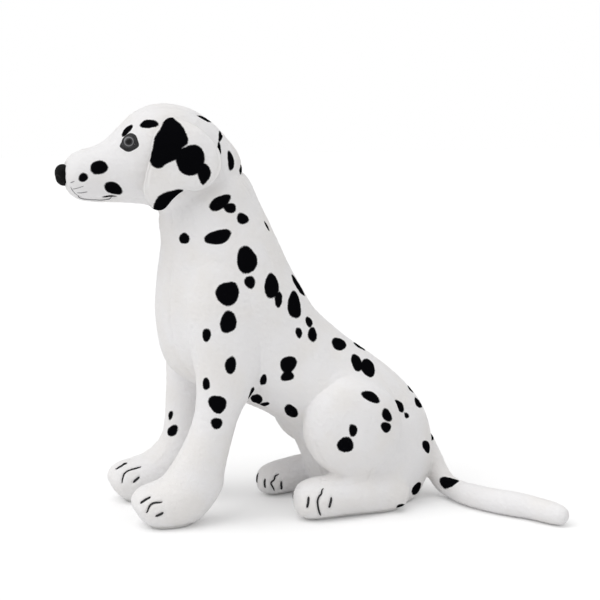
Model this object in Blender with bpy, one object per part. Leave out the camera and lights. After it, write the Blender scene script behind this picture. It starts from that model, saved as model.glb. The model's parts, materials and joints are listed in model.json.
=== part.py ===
"""Sitting plush dog: sewn plush covers over loose stuffing, with two plastic eyes and a nose.

The dog sits on the floor at z = 0 and faces -Y. Its own left side is +X. The origin is the
centre of the flat seat. Each body part is a loft through a few cross-sections. A cover is the
outer few millimetres of its loft, cut into sewn panels, and the stuffing is what lies inside.
Lengths in this file are in millimetres until the mesh is made.
"""

import math

import bmesh
import bpy
import numpy as np
from mathutils import Matrix, Vector

MM = 0.001

# Cloth and clearances
CLOTH = 3.0
GAP = 0.4
SWEEP_GAP = 0.6
HIP_GAP = 1.2
FLAT_DEGREES = 0.5
AROUND = 16
TAIL_AROUND = 10
TURNED_AROUND = 12
TURN = 2 * math.pi
BALL_TILTS = (math.radians(30), math.radians(60))

# Joints: a point on each axis, and the reach of each sweep in degrees
TURN_POINT = (0, -179.5, 306)
NOD_POINT = (0, -188, 350)
NOD_SWEEP = range(-16, 17, 8)
SHOULDER_Y, SHOULDER_Z = -183, 212
SHOULDER_SWEEP = range(-12, 13, 6)
EAR_X, EAR_Y, EAR_Z = 29.5, -228, 437
HIP_X, HIP_Y = 64, 22
TAIL_POINT = (7, 70, 45)
TAIL_SWEEP = range(-12, 61, 12)
TIP_POINT = (111, 114, 12)
TIP_SWEEP = range(-32, 33, 16)

# Stations: front (y, z), back (y, z) and half width, from the seat up
TRUNK = [
    ((-60, 0), (50, 0), 60),
    ((-78, 40), (70, 45), 71),
    ((-95, 78), (62, 95), 74),
    ((-118, 100), (41, 128), 75),
    ((-150, 118), (8, 158), 75),
    ((-195, 135), (-38, 192), 72),
    ((-236, 165), (-70, 222), 72),
    ((-248, 215), (-90, 255), 71),
    ((-246, 260), (-104, 282), 64),
    ((-241, 300), (-118, 312), 54),
]
NECK = [
    ((-241, 300.8), (-118, 312.8), 54),
    ((-243, 325), (-132, 342), 47),
    ((-236, 350), (-143, 366), 44),
    ((-225, 374), (-156, 384), 35),
    ((-208, 388), (-174, 392), 18),
]
# Head: y, top z, bottom z and half width, from the muzzle back
HEAD = [
    (-350, 388, 366, 10),
    (-346, 394, 359, 20),
    (-338, 398, 351, 25),
    (-325, 402, 347, 27.5),
    (-310, 406, 345, 28.5),
    (-298, 413, 345, 30),
    (-285, 426, 345, 34),
    (-272, 439, 344, 40),
    (-255, 447, 340, 44.5),
    (-238, 449.5, 332, 46),
    (-220, 447.5, 325, 46),
    (-200, 440, 322, 44),
    (-182, 426, 324, 38),
    (-168, 411, 333, 30),
    (-158, 399, 346, 20),
    (-153, 388, 362, 10),
]
# Foreleg: front (y, z), back (y, z), half width and distance from the middle plane
FORELEG = [
    ((-196, 247), (-171, 247), 8, 54),
    ((-210, 240), (-157, 240), 16, 55),
    ((-220, 226), (-146, 226), 22, 56),
    ((-223, 210), (-143, 210), 24, 56),
    ((-219, 180), (-145, 180), 25, 57),
    ((-216, 150), (-153, 150), 24, 58),
    ((-218, 118), (-168, 118), 22, 58),
    ((-228, 92), (-178, 88), 22, 58),
    ((-240, 70), (-185, 56), 24, 58),
    ((-253, 52), (-194, 32), 27, 58),
    ((-267, 46), (-220, 4), 29, 58),
    ((-279, 42), (-248, 3), 28, 58),
    ((-286, 34), (-267, 4), 21, 58),
    ((-287, 26), (-278, 13), 9, 58),
]
FORE_SOLE_Y, FORE_SOLE_LENGTH, FORE_SOLE_WIDTH = -247, 20, 21
# The right foreleg leans in under the chest, and its paw reaches further forward: z, then shift in y
LEG_TOP = 182
RIGHT_LEAN = 12
RIGHT_REACH = [
    (0, -9),
    (42, -11),
    (50, -3),
    (60, 3),
    (75, 3),
    (95, -4),
    (118, -11),
    (150, -12),
    (180, -9),
    (215, -3),
    (240, 0),
]
# Hind foot: y, top z, bottom z and half width, from the toes back
HIND_FOOT = [
    (-113, 31, 13, 8),
    (-109, 40, 6, 17),
    (-98, 45, 2.8, 23),
    (-75, 47, 2.8, 25),
    (-50, 46, 2.8, 24),
    (-25, 44, 2.8, 22),
    (0, 40, 2.8, 18),
    (16, 32, 6, 12),
    (22, 25, 12, 6),
]
HIND_SOLE_Y, HIND_SOLE_LENGTH, HIND_SOLE_WIDTH = -90, 15, 16
# For each side's foot: toe and heel distance from the middle plane, reach ahead, and flattening
FOOT_POSE = {1: (77, 66, 0, 0.0), -1: (27, 62, 15, 0.14)}
# Thigh: distance from the middle plane and radius, from the body outwards
THIGH = [(58, 52), (72, 55), (84, 51), (92, 42), (98, 28), (100.5, 11), (101, 2)]
THIGH_Y, THIGH_Z = -45, 99
# Tail: x, y, z and radius, from the rump to the tip
TAIL_ROOT = [
    (0, 62, 62, 13),
    (5, 69, 45, 13),
    (15, 75, 27, 12.8),
    (31, 79, 15.5, 12.6),
    (52, 85, 12.6, 12.2),
    (80, 94, 12.5, 12.2),
    (111, 114, 12.5, 12.2),
]
TAIL_END = [
    (111, 114, 12.5, 12.2),
    (139, 138, 12.2, 11.8),
    (162, 154, 11.5, 11.1),
    (172, 160, 11, 9.6),
    (178, 164, 10.6, 6),
]
# Ear outline seen from the side: y, z
EAR = [
    (-250, 432),
    (-236, 436.5),
    (-216, 432),
    (-200, 420),
    (-187, 402),
    (-185, 383),
    (-194, 368),
    (-209, 360),
    (-224, 361),
    (-238, 360),
    (-250, 346),
    (-259, 346),
    (-264, 360),
    (-263, 376),
    (-257, 396),
    (-258, 418),
]
EAR_DRAPE = [(343, 54), (375, 52.5), (395, 51), (410, 48), (422, 43), (431, 36), (437, 29.5)]
EAR_LAYER = 3.0

EYE_Y, EYE_Z = -280, 411
EYE_DOME = [(0, 7.5), (1.6, 7.5), (3.2, 6.45), (4.4, 4.5), (5.0, 1.9)]
EYE_STEM = (2.2, 13, 6.5, 6.5)
EYE_WAY = (1, -0.25, 0.28)
EYE_SUNK = 1.0
NOSE_PLACE = (0, -350.5, 377)
NOSE_DOME = [(0, 11), (3, 12.5), (6, 11.5), (8.5, 8), (9.5, 3)]
NOSE_STEM = (3, 16, 8, 8)
NOSE_WAY = (0, -1, 0.12)
WASHER_THICK = 2
# How many rings of each loft lie inside the body that it turns in
UPPER_LEG = 8
TAIL_BURIED = 6
TIP_BURIED = 4
SEAM_MARGIN = 0.004
FRONT_SEAM = 0.5
CROWN_SEAM = 0.3
CHIN_SEAM = 2.6


def remove_everything():
    for thing in list(bpy.data.objects):
        bpy.data.objects.remove(thing, do_unlink=True)


def plain_material(name, colour, roughness, metallic=0.0):
    material = bpy.data.materials.new(name)
    material.use_nodes = True
    shader = material.node_tree.nodes["Principled BSDF"]
    shader.inputs["Base Color"].default_value = (*colour, 1)
    shader.inputs["Roughness"].default_value = roughness
    shader.inputs["Metallic"].default_value = metallic
    return material


def make_materials():
    return {
        "plush": plain_material("plush", (0.86, 0.86, 0.85), 0.95),
        "spotted": plain_material("spotted_plush", (0.78, 0.78, 0.77), 0.95),
        "sole": plain_material("sole_plush", (0.80, 0.80, 0.78), 0.95),
        "fill": plain_material("stuffing", (0.92, 0.91, 0.88), 1.0),
        "eye": plain_material("eye_plastic", (0.03, 0.03, 0.035), 0.15),
        "nose": plain_material("nose_plastic", (0.015, 0.015, 0.015), 0.45),
        "washer": plain_material("washer_plastic", (0.8, 0.8, 0.78), 0.5),
    }


# Lofts ---------------------------------------------------------------------------------------


def through_stations(rows, steps):
    """Rows of numbers along a smooth curve through the given rows, steps to each span."""
    rows = np.array(rows, float)
    padded = np.vstack([2 * rows[0] - rows[1], rows, 2 * rows[-1] - rows[-2]])
    found = []
    for index in range(len(rows) - 1):
        before, start, end, after = padded[index : index + 4]
        for step in range(steps):
            t = step / steps
            slope_in = (end - before) / 2
            slope_out = (after - start) / 2
            found.append(
                start * (2 * t**3 - 3 * t**2 + 1)
                + slope_in * (t**3 - 2 * t**2 + t)
                + end * (3 * t**2 - 2 * t**3)
                + slope_out * (t**3 - t**2)
            )
    found.append(rows[-1])
    return np.array(found)


def ring(front, back, half_width, x, shrink):
    """Closed oval between the points front and back, pulled in by shrink, angle 0 at front."""
    front, back = np.array([x, *front]), np.array([x, *back])
    centre, reach = (front + back) / 2, (front - back) / 2
    length = np.linalg.norm(reach)
    depth = max(length - shrink, length * 0.3)
    width = max(half_width - shrink, half_width * 0.3)
    angle = np.arange(AROUND) * TURN / AROUND
    across = np.outer(np.sin(angle) * width, [1, 0, 0])
    return centre + np.outer(np.cos(angle) * depth, reach / length) + across


def oval_loft(stations, shrink=0.0, steps=1, floor=None):
    """Rings through (front, back, half width, x) stations."""
    rows = [(*f, *b, w, *(rest or [0])) for f, b, w, *rest in stations]
    rings = []
    for row in through_stations(rows, steps):
        rings.append(ring(row[0:2], row[2:4], row[4], row[5], shrink))
    rings = np.array(rings)
    if floor is not None:
        rings[:, :, 2] = np.maximum(rings[:, :, 2], floor)
    return rings


def upright_loft(stations, shrink=0.0):
    """Rings through (y, top, bottom, half width) stations, angle 0 at the top."""
    rows = [((y, top), (y, bottom), width) for y, top, bottom, width in stations]
    return oval_loft(rows, shrink)


def tube_loft(path, shrink=0.0, ball=False):
    """Round rings along a path of (x, y, z, radius), starting with a half ball if asked."""
    points = np.array(path, float)
    places, radii = points[:, :3], points[:, 3]
    tangents = np.gradient(places, axis=0)
    tangents /= np.linalg.norm(tangents, axis=1)[:, None]
    stops = list(zip(places, tangents, radii))
    if ball:
        place, tangent, radius = stops[0]
        for tilt in BALL_TILTS:
            back = place - tangent * radius * math.sin(tilt)
            stops.insert(0, (back, tangent, radius * math.cos(tilt)))
    rings = []
    angle = np.arange(TAIL_AROUND) * TURN / TAIL_AROUND
    for place, tangent, radius in stops:
        side = np.cross(tangent, [0.3, -1, 0.2])
        side /= np.linalg.norm(side)
        other = np.cross(tangent, side)
        size = max(radius - shrink, radius * 0.3)
        rings.append(place + size * (np.outer(np.cos(angle), side) + np.outer(np.sin(angle), other)))
    return np.array(rings)


def disc_loft(side, shrink=0.0):
    """The thigh's round rings, stacked away from the middle plane."""
    rings = []
    angle = np.arange(AROUND) * TURN / AROUND
    for distance, radius in THIGH:
        size = max(radius - shrink, radius * 0.3)
        out = distance - shrink if distance > THIGH[0][0] else distance
        y = THIGH_Y + size * np.cos(angle)
        z = THIGH_Z + size * np.sin(angle)
        rings.append(np.stack([np.full(AROUND, side * out), y, z], axis=1))
    return np.array(rings)


# Meshes --------------------------------------------------------------------------------------


def make_object(name, points, faces, material=None):
    mesh = bpy.data.meshes.new(name)
    mesh.from_pydata([tuple(p) for p in np.array(points) * MM], [], faces)
    work = bmesh.new()
    work.from_mesh(mesh)
    bmesh.ops.triangulate(work, faces=work.faces[:])
    bmesh.ops.recalc_face_normals(work, faces=work.faces[:])
    work.to_mesh(mesh)
    work.free()
    if material:
        mesh.materials.append(material)
    mesh.shade_smooth()
    thing = bpy.data.objects.new(name, mesh)
    bpy.context.scene.collection.objects.link(thing)
    return thing


def solid(name, rings, material=None):
    """Closed body through the rings, with a flat fan over each end."""
    count, around = rings.shape[:2]
    points = [*rings.reshape(-1, 3), rings[0].mean(0), rings[-1].mean(0)]
    first, last = count * around, count * around + 1
    faces = []
    for i in range(around):
        j = (i + 1) % around
        for level in range(count - 1):
            low, high = level * around, (level + 1) * around
            faces.append((low + i, low + j, high + j, high + i))
        top = (count - 1) * around
        faces.append((first, j, i))
        faces.append((last, top + i, top + j))
    return make_object(name, points, faces, material)


def at_angle(rings, angle):
    """One point on each ring at the given angle, on its straight sides."""
    around = rings.shape[1]
    place = angle / TURN * around
    index = int(math.floor(place))
    share = place - index
    return rings[:, index % around] * (1 - share) + rings[:, (index + 1) % around] * share


def panel(name, outer, inner, start, end, material):
    """Sheet of cloth between two angles of a loft, as thick as the two lofts are apart."""
    around = outer.shape[1]
    cut = GAP / 2 / np.linalg.norm(outer[len(outer) // 2, 0] - outer[len(outer) // 2].mean(0))
    start, end = start + cut, end - cut
    first = math.floor(start / TURN * around) + 1
    stop = math.ceil(end / TURN * around) - 1
    between = [i * TURN / around for i in range(first, stop + 1)]
    angles = [a for a in between if start + SEAM_MARGIN < a < end - SEAM_MARGIN]
    angles = [start, *angles, end]
    sheets = []
    for loft in (outer, inner):
        sheets.append(np.stack([at_angle(loft, a) for a in angles], axis=1))
    rows, columns = sheets[0].shape[:2]
    points = [*sheets[0].reshape(-1, 3), *sheets[1].reshape(-1, 3)]
    under = rows * columns
    faces = []
    for r in range(rows - 1):
        for c in range(columns - 1):
            a = r * columns + c
            quad = (a, a + 1, a + columns + 1, a + columns)
            faces.append(quad)
            faces.append(tuple(under + i for i in reversed(quad)))
    edge = [c for c in range(columns)]
    edge += [r * columns + columns - 1 for r in range(1, rows)]
    edge += [(rows - 1) * columns + c for c in range(columns - 2, -1, -1)]
    edge += [r * columns for r in range(rows - 2, 0, -1)]
    for a, b in zip(edge, edge[1:] + edge[:1]):
        faces.append((a, under + a, under + b, b))
    return make_object(name, points, faces, material)


def sleeve(name, outer, inner, material):
    """Cloth all the way round a loft, open at both ends."""
    count, around = outer.shape[:2]
    points = [*outer.reshape(-1, 3), *inner.reshape(-1, 3)]
    under = count * around
    faces = []
    for i in range(around):
        j = (i + 1) % around
        for level in range(count - 1):
            low, high = level * around, (level + 1) * around
            faces.append((low + i, low + j, high + j, high + i))
            faces.append((under + low + j, under + low + i, under + high + i, under + high + j))
        top = (count - 1) * around
        faces.append((j, i, under + i, under + j))
        faces.append((top + i, top + j, under + top + j, under + top + i))
    return make_object(name, points, faces, material)


def keep_largest(thing):
    """Leaves the largest of a mesh's separate pieces, after a cut."""
    work = bmesh.new()
    work.from_mesh(thing.data)
    left = set(work.verts)
    islands = []
    while left:
        stack = [left.pop()]
        island = list(stack)
        while stack:
            for edge in stack.pop().link_edges:
                for vert in edge.verts:
                    if vert in left:
                        left.remove(vert)
                        stack.append(vert)
                        island.append(vert)
        islands.append(island)
    islands.sort(key=len)
    for island in islands[:-1]:
        bmesh.ops.delete(work, geom=island, context="VERTS")
    flat = math.radians(FLAT_DEGREES)
    bmesh.ops.dissolve_limit(work, angle_limit=flat, verts=work.verts[:], edges=work.edges[:])
    bmesh.ops.triangulate(work, faces=work.faces[:])
    work.to_mesh(thing.data)
    work.free()


def cut_away(target, cutter):
    """Applies a Boolean difference to the target."""
    cut = target.modifiers.new("cut", "BOOLEAN")
    cut.operation = "DIFFERENCE"
    cut.object = cutter
    bpy.context.view_layer.update()
    graph = bpy.context.evaluated_depsgraph_get()
    mesh = bpy.data.meshes.new_from_object(target.evaluated_get(graph))
    target.modifiers.clear()
    old = target.data
    target.data = mesh
    bpy.data.meshes.remove(old)
    mesh.name = target.name


def subtract(targets, cutter):
    for target in targets:
        cut_away(target, cutter)
        keep_largest(target)
    bpy.data.objects.remove(cutter, do_unlink=True)


def swept(rings, point, axis, degrees):
    """The space that a convex body needs as it turns about an axis, as one cutter."""
    centre = Vector(point)
    work = bmesh.new()
    for degree in degrees:
        spin = Matrix.Rotation(math.radians(degree), 3, Vector(axis))
        for place in rings.reshape(-1, 3):
            work.verts.new((centre + spin @ (Vector(place) - centre)) * MM)
    hull = bmesh.ops.convex_hull(work, input=work.verts[:])
    loose = [item for item in hull["geom_interior"] if isinstance(item, bmesh.types.BMVert)]
    bmesh.ops.delete(work, geom=loose, context="VERTS")
    bmesh.ops.recalc_face_normals(work, faces=work.faces[:])
    mesh = bpy.data.meshes.new("sweep")
    work.to_mesh(mesh)
    work.free()
    cutter = bpy.data.objects.new("sweep", mesh)
    bpy.context.scene.collection.objects.link(cutter)
    return cutter


def turned_body(name, profile, base, axis, material=None):
    """Body of revolution from (distance along the axis, radius) pairs, starting at base."""
    axis = np.array(axis, float) / np.linalg.norm(axis)
    side = np.cross(axis, [0.1, 0.2, 1.0])
    side /= np.linalg.norm(side)
    other = np.cross(axis, side)
    angle = np.arange(TURNED_AROUND) * TURN / TURNED_AROUND
    round_it = np.outer(np.cos(angle), side) + np.outer(np.sin(angle), other)
    rings = [np.array(base) + along * axis + radius * round_it for along, radius in profile]
    return solid(name, np.array(rings), material)


# Body parts ----------------------------------------------------------------------------------


def make_torso(paint):
    outer, inner = oval_loft(TRUNK), oval_loft(TRUNK, CLOTH)
    back = math.pi
    parts = [
        panel("torso_left_panel", outer, inner, FRONT_SEAM, back, paint["spotted"]),
        panel("torso_right_panel", outer, inner, -back, -FRONT_SEAM, paint["spotted"]),
        panel("belly_gusset", outer, inner, -FRONT_SEAM, FRONT_SEAM, paint["plush"]),
    ]
    fill = oval_loft(TRUNK, CLOTH + GAP)
    fill[0, :, 2] += CLOTH + GAP
    parts.append(solid("torso_stuffing", fill, paint["fill"]))
    seat = np.repeat(oval_loft(TRUNK[:2], CLOTH + 2 * GAP)[:1], 2, axis=0)
    seat[1, :, 2] += CLOTH
    parts.append(solid("seat_panel", seat, paint["sole"]))
    return parts


def make_neck(paint):
    outer, inner = oval_loft(NECK), oval_loft(NECK, CLOTH)
    fill = oval_loft(NECK, CLOTH + GAP)
    return [
        sleeve("neck_cover", outer, inner, paint["plush"]),
        solid("neck_stuffing", fill, paint["fill"]),
    ]


def make_head(paint):
    outer, inner = upright_loft(HEAD), upright_loft(HEAD, CLOTH)
    parts = [
        panel("head_gusset", outer, inner, -CROWN_SEAM, CROWN_SEAM, paint["plush"]),
        panel("head_left_panel", outer, inner, CROWN_SEAM, CHIN_SEAM, paint["spotted"]),
        panel("head_right_panel", outer, inner, -CHIN_SEAM, -CROWN_SEAM, paint["spotted"]),
        panel("chin_panel", outer, inner, CHIN_SEAM, TURN - CHIN_SEAM, paint["plush"]),
    ]
    fill = upright_loft(HEAD, CLOTH + GAP)
    fill[0, :, 1] += CLOTH
    fill[-1, :, 1] -= CLOTH
    parts.append(solid("head_stuffing", fill, paint["fill"]))
    neck = swept(oval_loft(NECK, -SWEEP_GAP), NOD_POINT, (1, 0, 0), NOD_SWEEP)
    subtract(parts, neck)
    return parts


def head_half_width(y, z):
    """Distance from the middle plane to the head's surface."""
    rows = np.array(HEAD, float)
    top, bottom, width = (np.interp(y, rows[:, 0], rows[:, i]) for i in (1, 2, 3))
    height = (z - (top + bottom) / 2) / ((top - bottom) / 2)
    return width * math.sqrt(max(1 - height**2, 0))


def fastened(name, washer_name, dome, base, axis, stem, targets, paint):
    """A moulded dome whose stem goes through the cloth, and the washer that grips the stem."""
    stem_radius, stem_length, washer_radius, washer_at = stem
    inward = (-stem_length, stem_radius), (0, stem_radius)
    profile = [*inward, *dome]
    grown = [(-stem_length - GAP, stem_radius + GAP), (-GAP, stem_radius + GAP)]
    grown += [(along + (GAP if i else -GAP), radius + GAP) for i, (along, radius) in enumerate(dome)]
    kind = "eye" if "eye" in name else "nose"
    made = turned_body(name, profile, base, axis, paint[kind])
    subtract(targets, turned_body("cutter", grown, base, axis))
    low, high = -washer_at - WASHER_THICK, -washer_at
    disc = [(low, washer_radius), (high, washer_radius)]
    washer = turned_body(washer_name, disc, base, axis, paint["washer"])
    hole = [(low - 1, stem_radius + GAP), (high + 1, stem_radius + GAP)]
    subtract([washer], turned_body("cutter", hole, base, axis))
    pocket = [(low - GAP, washer_radius + GAP), (high + GAP, washer_radius + GAP)]
    subtract(targets, turned_body("cutter", pocket, base, axis))
    return [made, washer]


def make_face(paint, head):
    named = {part.name: part for part in head}
    found = []
    for side, word in ((1, "left"), (-1, "right")):
        targets = [named[f"head_{word}_panel"], named["head_stuffing"]]
        base = (side * (head_half_width(EYE_Y, EYE_Z) - EYE_SUNK), EYE_Y, EYE_Z)
        way = (side, *EYE_WAY[1:])
        names = (f"eye_{word}", f"eye_washer_{word}")
        found += fastened(*names, EYE_DOME, base, way, EYE_STEM, targets, paint)
    found += fastened("nose", "nose_washer", NOSE_DOME, NOSE_PLACE, NOSE_WAY, NOSE_STEM, head, paint)
    return found


def make_ear(side, word, paint):
    """Two layers of cloth that drape over the side of the head, sewn along their top edge."""
    outline = np.array(EAR, float)
    centre = outline.mean(0)
    drape = np.array(EAR_DRAPE, float)
    shares = (1.0, 0.66, 0.33)
    found = []
    for name, inside in (("outer", EAR_LAYER + GAP), ("lining", 0.0)):
        faces_in = []
        for depth in (inside, inside + EAR_LAYER):
            sheet = [centre + (outline - centre) * share for share in shares]
            flat = np.vstack([*sheet, centre])
            lean = np.interp(flat[:, 1], drape[:, 0], drape[:, 1])
            faces_in.append(np.column_stack([side * (lean + depth), flat]))
        count = len(outline)
        under = len(faces_in[0])
        faces = []
        for i in range(count):
            j = (i + 1) % count
            for level in range(len(shares) - 1):
                a, b = level * count, (level + 1) * count
                faces.append((a + i, a + j, b + j, b + i))
                faces.append((under + a + j, under + a + i, under + b + i, under + b + j))
            a, middle = (len(shares) - 1) * count, len(shares) * count
            faces.append((a + i, a + j, middle))
            faces.append((under + a + j, under + a + i, under + middle))
            faces.append((j, i, under + i, under + j))
        points = np.vstack(faces_in)
        cloth = paint["spotted" if name == "outer" else "plush"]
        found.append(make_object(f"ear_{word}_{name}", points, faces, cloth))
    return found


def foreleg_stations(side):
    """The stations of one foreleg; the right one leans in and reaches forward."""
    lean = 0 if side > 0 else RIGHT_LEAN
    reach = np.array(RIGHT_REACH, float)
    rows = []
    for front, rear, width, x in FORELEG:
        share = min(max((LEG_TOP - front[1]) / LEG_TOP, 0), 1)
        ahead = 0 if side > 0 else np.interp(front[1], reach[:, 0], reach[:, 1])
        fore = (front[0] + ahead, front[1])
        hind = (rear[0] + ahead, rear[1])
        rows.append((fore, hind, width, side * (x - lean * share)))
    return rows


def make_foreleg(side, word, paint, torso):
    rows = foreleg_stations(side)
    floor = CLOTH - 0.2
    outer, inner = oval_loft(rows, floor=floor), oval_loft(rows, CLOTH, floor=floor + CLOTH)
    fill = oval_loft(rows, CLOTH + GAP, floor=floor + CLOTH + GAP)
    near, far = (0, math.pi), (-math.pi, 0)
    outside, inside = (near, far) if side > 0 else (far, near)
    parts = [
        panel(f"foreleg_{word}_outer_panel", outer, inner, *outside, paint["spotted"]),
        panel(f"foreleg_{word}_inner_panel", outer, inner, *inside, paint["plush"]),
        solid(f"foreleg_{word}_stuffing", fill, paint["fill"]),
    ]
    lean, ahead = (0, 0) if side > 0 else (RIGHT_LEAN, -RIGHT_REACH[0][1])
    place = (side * (FORELEG[-1][-1] - lean), FORE_SOLE_Y - ahead)
    parts.append(sole(f"foreleg_{word}_sole", place, FORE_SOLE_LENGTH, FORE_SOLE_WIDTH, paint))
    point = (0, SHOULDER_Y, SHOULDER_Z)
    grown = oval_loft(rows, -SWEEP_GAP)[:UPPER_LEG]
    subtract(torso, swept(grown, point, (1, 0, 0), SHOULDER_SWEEP))
    return parts


def sole(name, place, length, width, paint):
    """Flat oval pad of cloth that the paw stands on."""
    angle = np.arange(AROUND) * TURN / AROUND
    x = place[0] + width * np.cos(angle)
    y = place[1] + length * np.sin(angle)
    rings = [np.stack([x, y, np.full(AROUND, z)], axis=1) for z in (0, CLOTH - 0.2 - GAP)]
    return solid(name, np.array(rings), paint["sole"])


def hind_foot_rings(side, shrink=0.0, floor=None):
    """The left foot points outwards; the right foot is flatter, turned in and further forward."""
    rings = upright_loft(HIND_FOOT, shrink)
    toe, heel, ahead, flat = FOOT_POSE[side]
    share = (rings[:, :, 1] - HIND_FOOT[0][0]) / (HIND_FOOT[-1][0] - HIND_FOOT[0][0])
    rings[:, :, 0] += side * (toe + (heel - toe) * share)
    rings[:, :, 1] -= ahead * (1 - share)
    rings[:, :, 2] *= 1 - flat * (1 - share)
    if floor is not None:
        rings[:, :, 2] = np.maximum(rings[:, :, 2], floor)
    return rings


def make_hind_leg(side, word, paint):
    floor = CLOTH - 0.2
    outer, inner = hind_foot_rings(side, 0, floor), hind_foot_rings(side, CLOTH, floor + CLOTH)
    fill = hind_foot_rings(side, CLOTH + GAP, floor + CLOTH + GAP)
    foot = [
        sleeve(f"hind_foot_{word}_cover", outer, inner, paint["plush"]),
        solid(f"hind_foot_{word}_stuffing", fill, paint["fill"]),
    ]
    thigh = [
        sleeve(f"thigh_{word}_panel", disc_loft(side), disc_loft(side, CLOTH), paint["spotted"]),
        solid(f"thigh_{word}_stuffing", disc_loft(side, CLOTH + GAP), paint["fill"]),
    ]
    subtract(thigh, solid("cutter", hind_foot_rings(side, -GAP)))
    subtract(foot + thigh, solid("cutter", oval_loft(TRUNK, -HIP_GAP)))
    x, ahead = (74, 0) if side > 0 else (34, 12)
    place = (side * x, HIND_SOLE_Y - ahead)
    pad = sole(f"hind_foot_{word}_sole", place, HIND_SOLE_LENGTH, HIND_SOLE_WIDTH, paint)
    return [*foot, *thigh, pad]


def make_tail(paint, torso):
    parts = {}
    for word, path in (("base", TAIL_ROOT), ("tip", TAIL_END)):
        outer, inner = tube_loft(path, ball=True), tube_loft(path, CLOTH, ball=True)
        cover = sleeve(f"tail_{word}_cover", outer, inner, paint["spotted"])
        fill = solid(f"tail_{word}_stuffing", tube_loft(path, CLOTH + GAP, ball=True), paint["fill"])
        parts[word] = [cover, fill]
    upright = (0, 0, 1)
    root = tube_loft(TAIL_ROOT, -SWEEP_GAP, ball=True)[:TAIL_BURIED]
    subtract(torso, swept(root, TAIL_POINT, upright, TAIL_SWEEP))
    end = tube_loft(TAIL_END, -SWEEP_GAP, ball=True)[:TIP_BURIED]
    tip = swept(end, TIP_POINT, upright, TIP_SWEEP)
    subtract(parts["base"], tip)
    return parts


def hang_from(joint, place, parts):
    """Parents the parts to an empty on their joint's axis, and leaves them where they are."""
    empty = bpy.data.objects.new(joint, None)
    bpy.context.scene.collection.objects.link(empty)
    empty.location = Vector(place) * MM
    for part in parts:
        part.parent = empty
        part.matrix_parent_inverse = Matrix.Translation(-Vector(place) * MM)
    return empty


def main():
    remove_everything()
    paint = make_materials()
    torso = make_torso(paint)
    head = make_head(paint)
    face = make_face(paint, head)
    neck_joint = hang_from("neck_turn", TURN_POINT, make_neck(paint))
    head_joint = hang_from("head_nod", NOD_POINT, head + face)
    head_joint.parent = neck_joint
    head_joint.matrix_parent_inverse = Matrix.Translation(-Vector(TURN_POINT) * MM)
    for side, word in ((1, "left"), (-1, "right")):
        ear = hang_from(f"ear_{word}_lift", (side * EAR_X, EAR_Y, EAR_Z), make_ear(side, word, paint))
        ear.parent = head_joint
        ear.matrix_parent_inverse = Matrix.Translation(-Vector(NOD_POINT) * MM)
        leg = make_foreleg(side, word, paint, torso)
        hang_from(f"foreleg_{word}_swing", (side * 57, SHOULDER_Y, SHOULDER_Z), leg)
        hind = make_hind_leg(side, word, paint)
        hang_from(f"hind_leg_{word}_splay", (side * HIP_X, HIP_Y, 0), hind)
    tail = make_tail(paint, torso)
    base_joint = hang_from("tail_swing", TAIL_POINT, tail["base"])
    tip_joint = hang_from("tail_tip_bend", TIP_POINT, tail["tip"])
    tip_joint.parent = base_joint
    tip_joint.matrix_parent_inverse = Matrix.Translation(-Vector(TAIL_POINT) * MM)


main()
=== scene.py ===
"""Looks of a sitting spotted plush dog: sewn plush covers, printed spots, stitched toes, eyes and nose.

The dog faces -Y and its own left side is +X. Lengths are in millimetres until a mesh is made.
"""

import json
import math

import bmesh
import bpy
import numpy as np
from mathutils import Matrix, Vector, noise
from mathutils.bvhtree import BVHTree
from mathutils.kdtree import KDTree


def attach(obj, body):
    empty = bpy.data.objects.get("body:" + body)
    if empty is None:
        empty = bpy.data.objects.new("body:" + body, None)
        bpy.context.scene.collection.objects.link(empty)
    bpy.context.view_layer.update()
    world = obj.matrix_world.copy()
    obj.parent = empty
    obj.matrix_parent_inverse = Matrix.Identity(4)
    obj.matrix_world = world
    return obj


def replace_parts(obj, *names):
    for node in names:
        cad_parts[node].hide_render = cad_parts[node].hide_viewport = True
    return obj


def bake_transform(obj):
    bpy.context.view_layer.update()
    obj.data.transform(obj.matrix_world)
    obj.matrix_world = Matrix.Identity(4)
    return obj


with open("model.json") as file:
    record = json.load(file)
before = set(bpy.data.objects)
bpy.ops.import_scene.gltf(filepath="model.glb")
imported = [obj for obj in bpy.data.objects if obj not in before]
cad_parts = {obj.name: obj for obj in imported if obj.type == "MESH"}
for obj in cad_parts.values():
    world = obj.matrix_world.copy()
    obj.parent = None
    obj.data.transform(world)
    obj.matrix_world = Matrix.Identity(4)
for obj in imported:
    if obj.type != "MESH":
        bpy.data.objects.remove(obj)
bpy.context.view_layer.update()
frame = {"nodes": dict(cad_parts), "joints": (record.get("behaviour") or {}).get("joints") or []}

MM = 0.001
TURN = 2 * math.pi
SIDES = ((1, "left"), (-1, "right"))
AROUND = 72
STEPS = 7
CURVE_STEPS = 12
VOXEL = 2.6
RELAX_ROUNDS = 9
FILL_ROUNDS = 110
FILL_STEP = 0.6
LABEL_ROUNDS = 4
OWN_VOTE = 1.5
SMALLEST_PATCH = 260
SEAM_ROUNDS = 14
BESIDE_ROUNDS = 8

# Stations: front (y, z), back (y, z) and half width, from the seat up to inside the head
TRUNK = [
    ((-52, -1), (44, -1), 52), ((-64, 4), (54, 4), 62), ((-78, 40), (70, 45), 71),
    ((-95, 78), (62, 95), 74), ((-118, 100), (41, 128), 75), ((-150, 118), (8, 158), 75),
    ((-195, 135), (-38, 192), 72), ((-236, 165), (-70, 222), 72), ((-248, 215), (-90, 255), 70),
    ((-246, 260), (-104, 282), 63), ((-241, 300), (-118, 312), 54),
    ((-243, 325), (-132, 342), 47), ((-236, 350), (-143, 366), 43),
    ((-222, 372), (-158, 382), 30),
]
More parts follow.
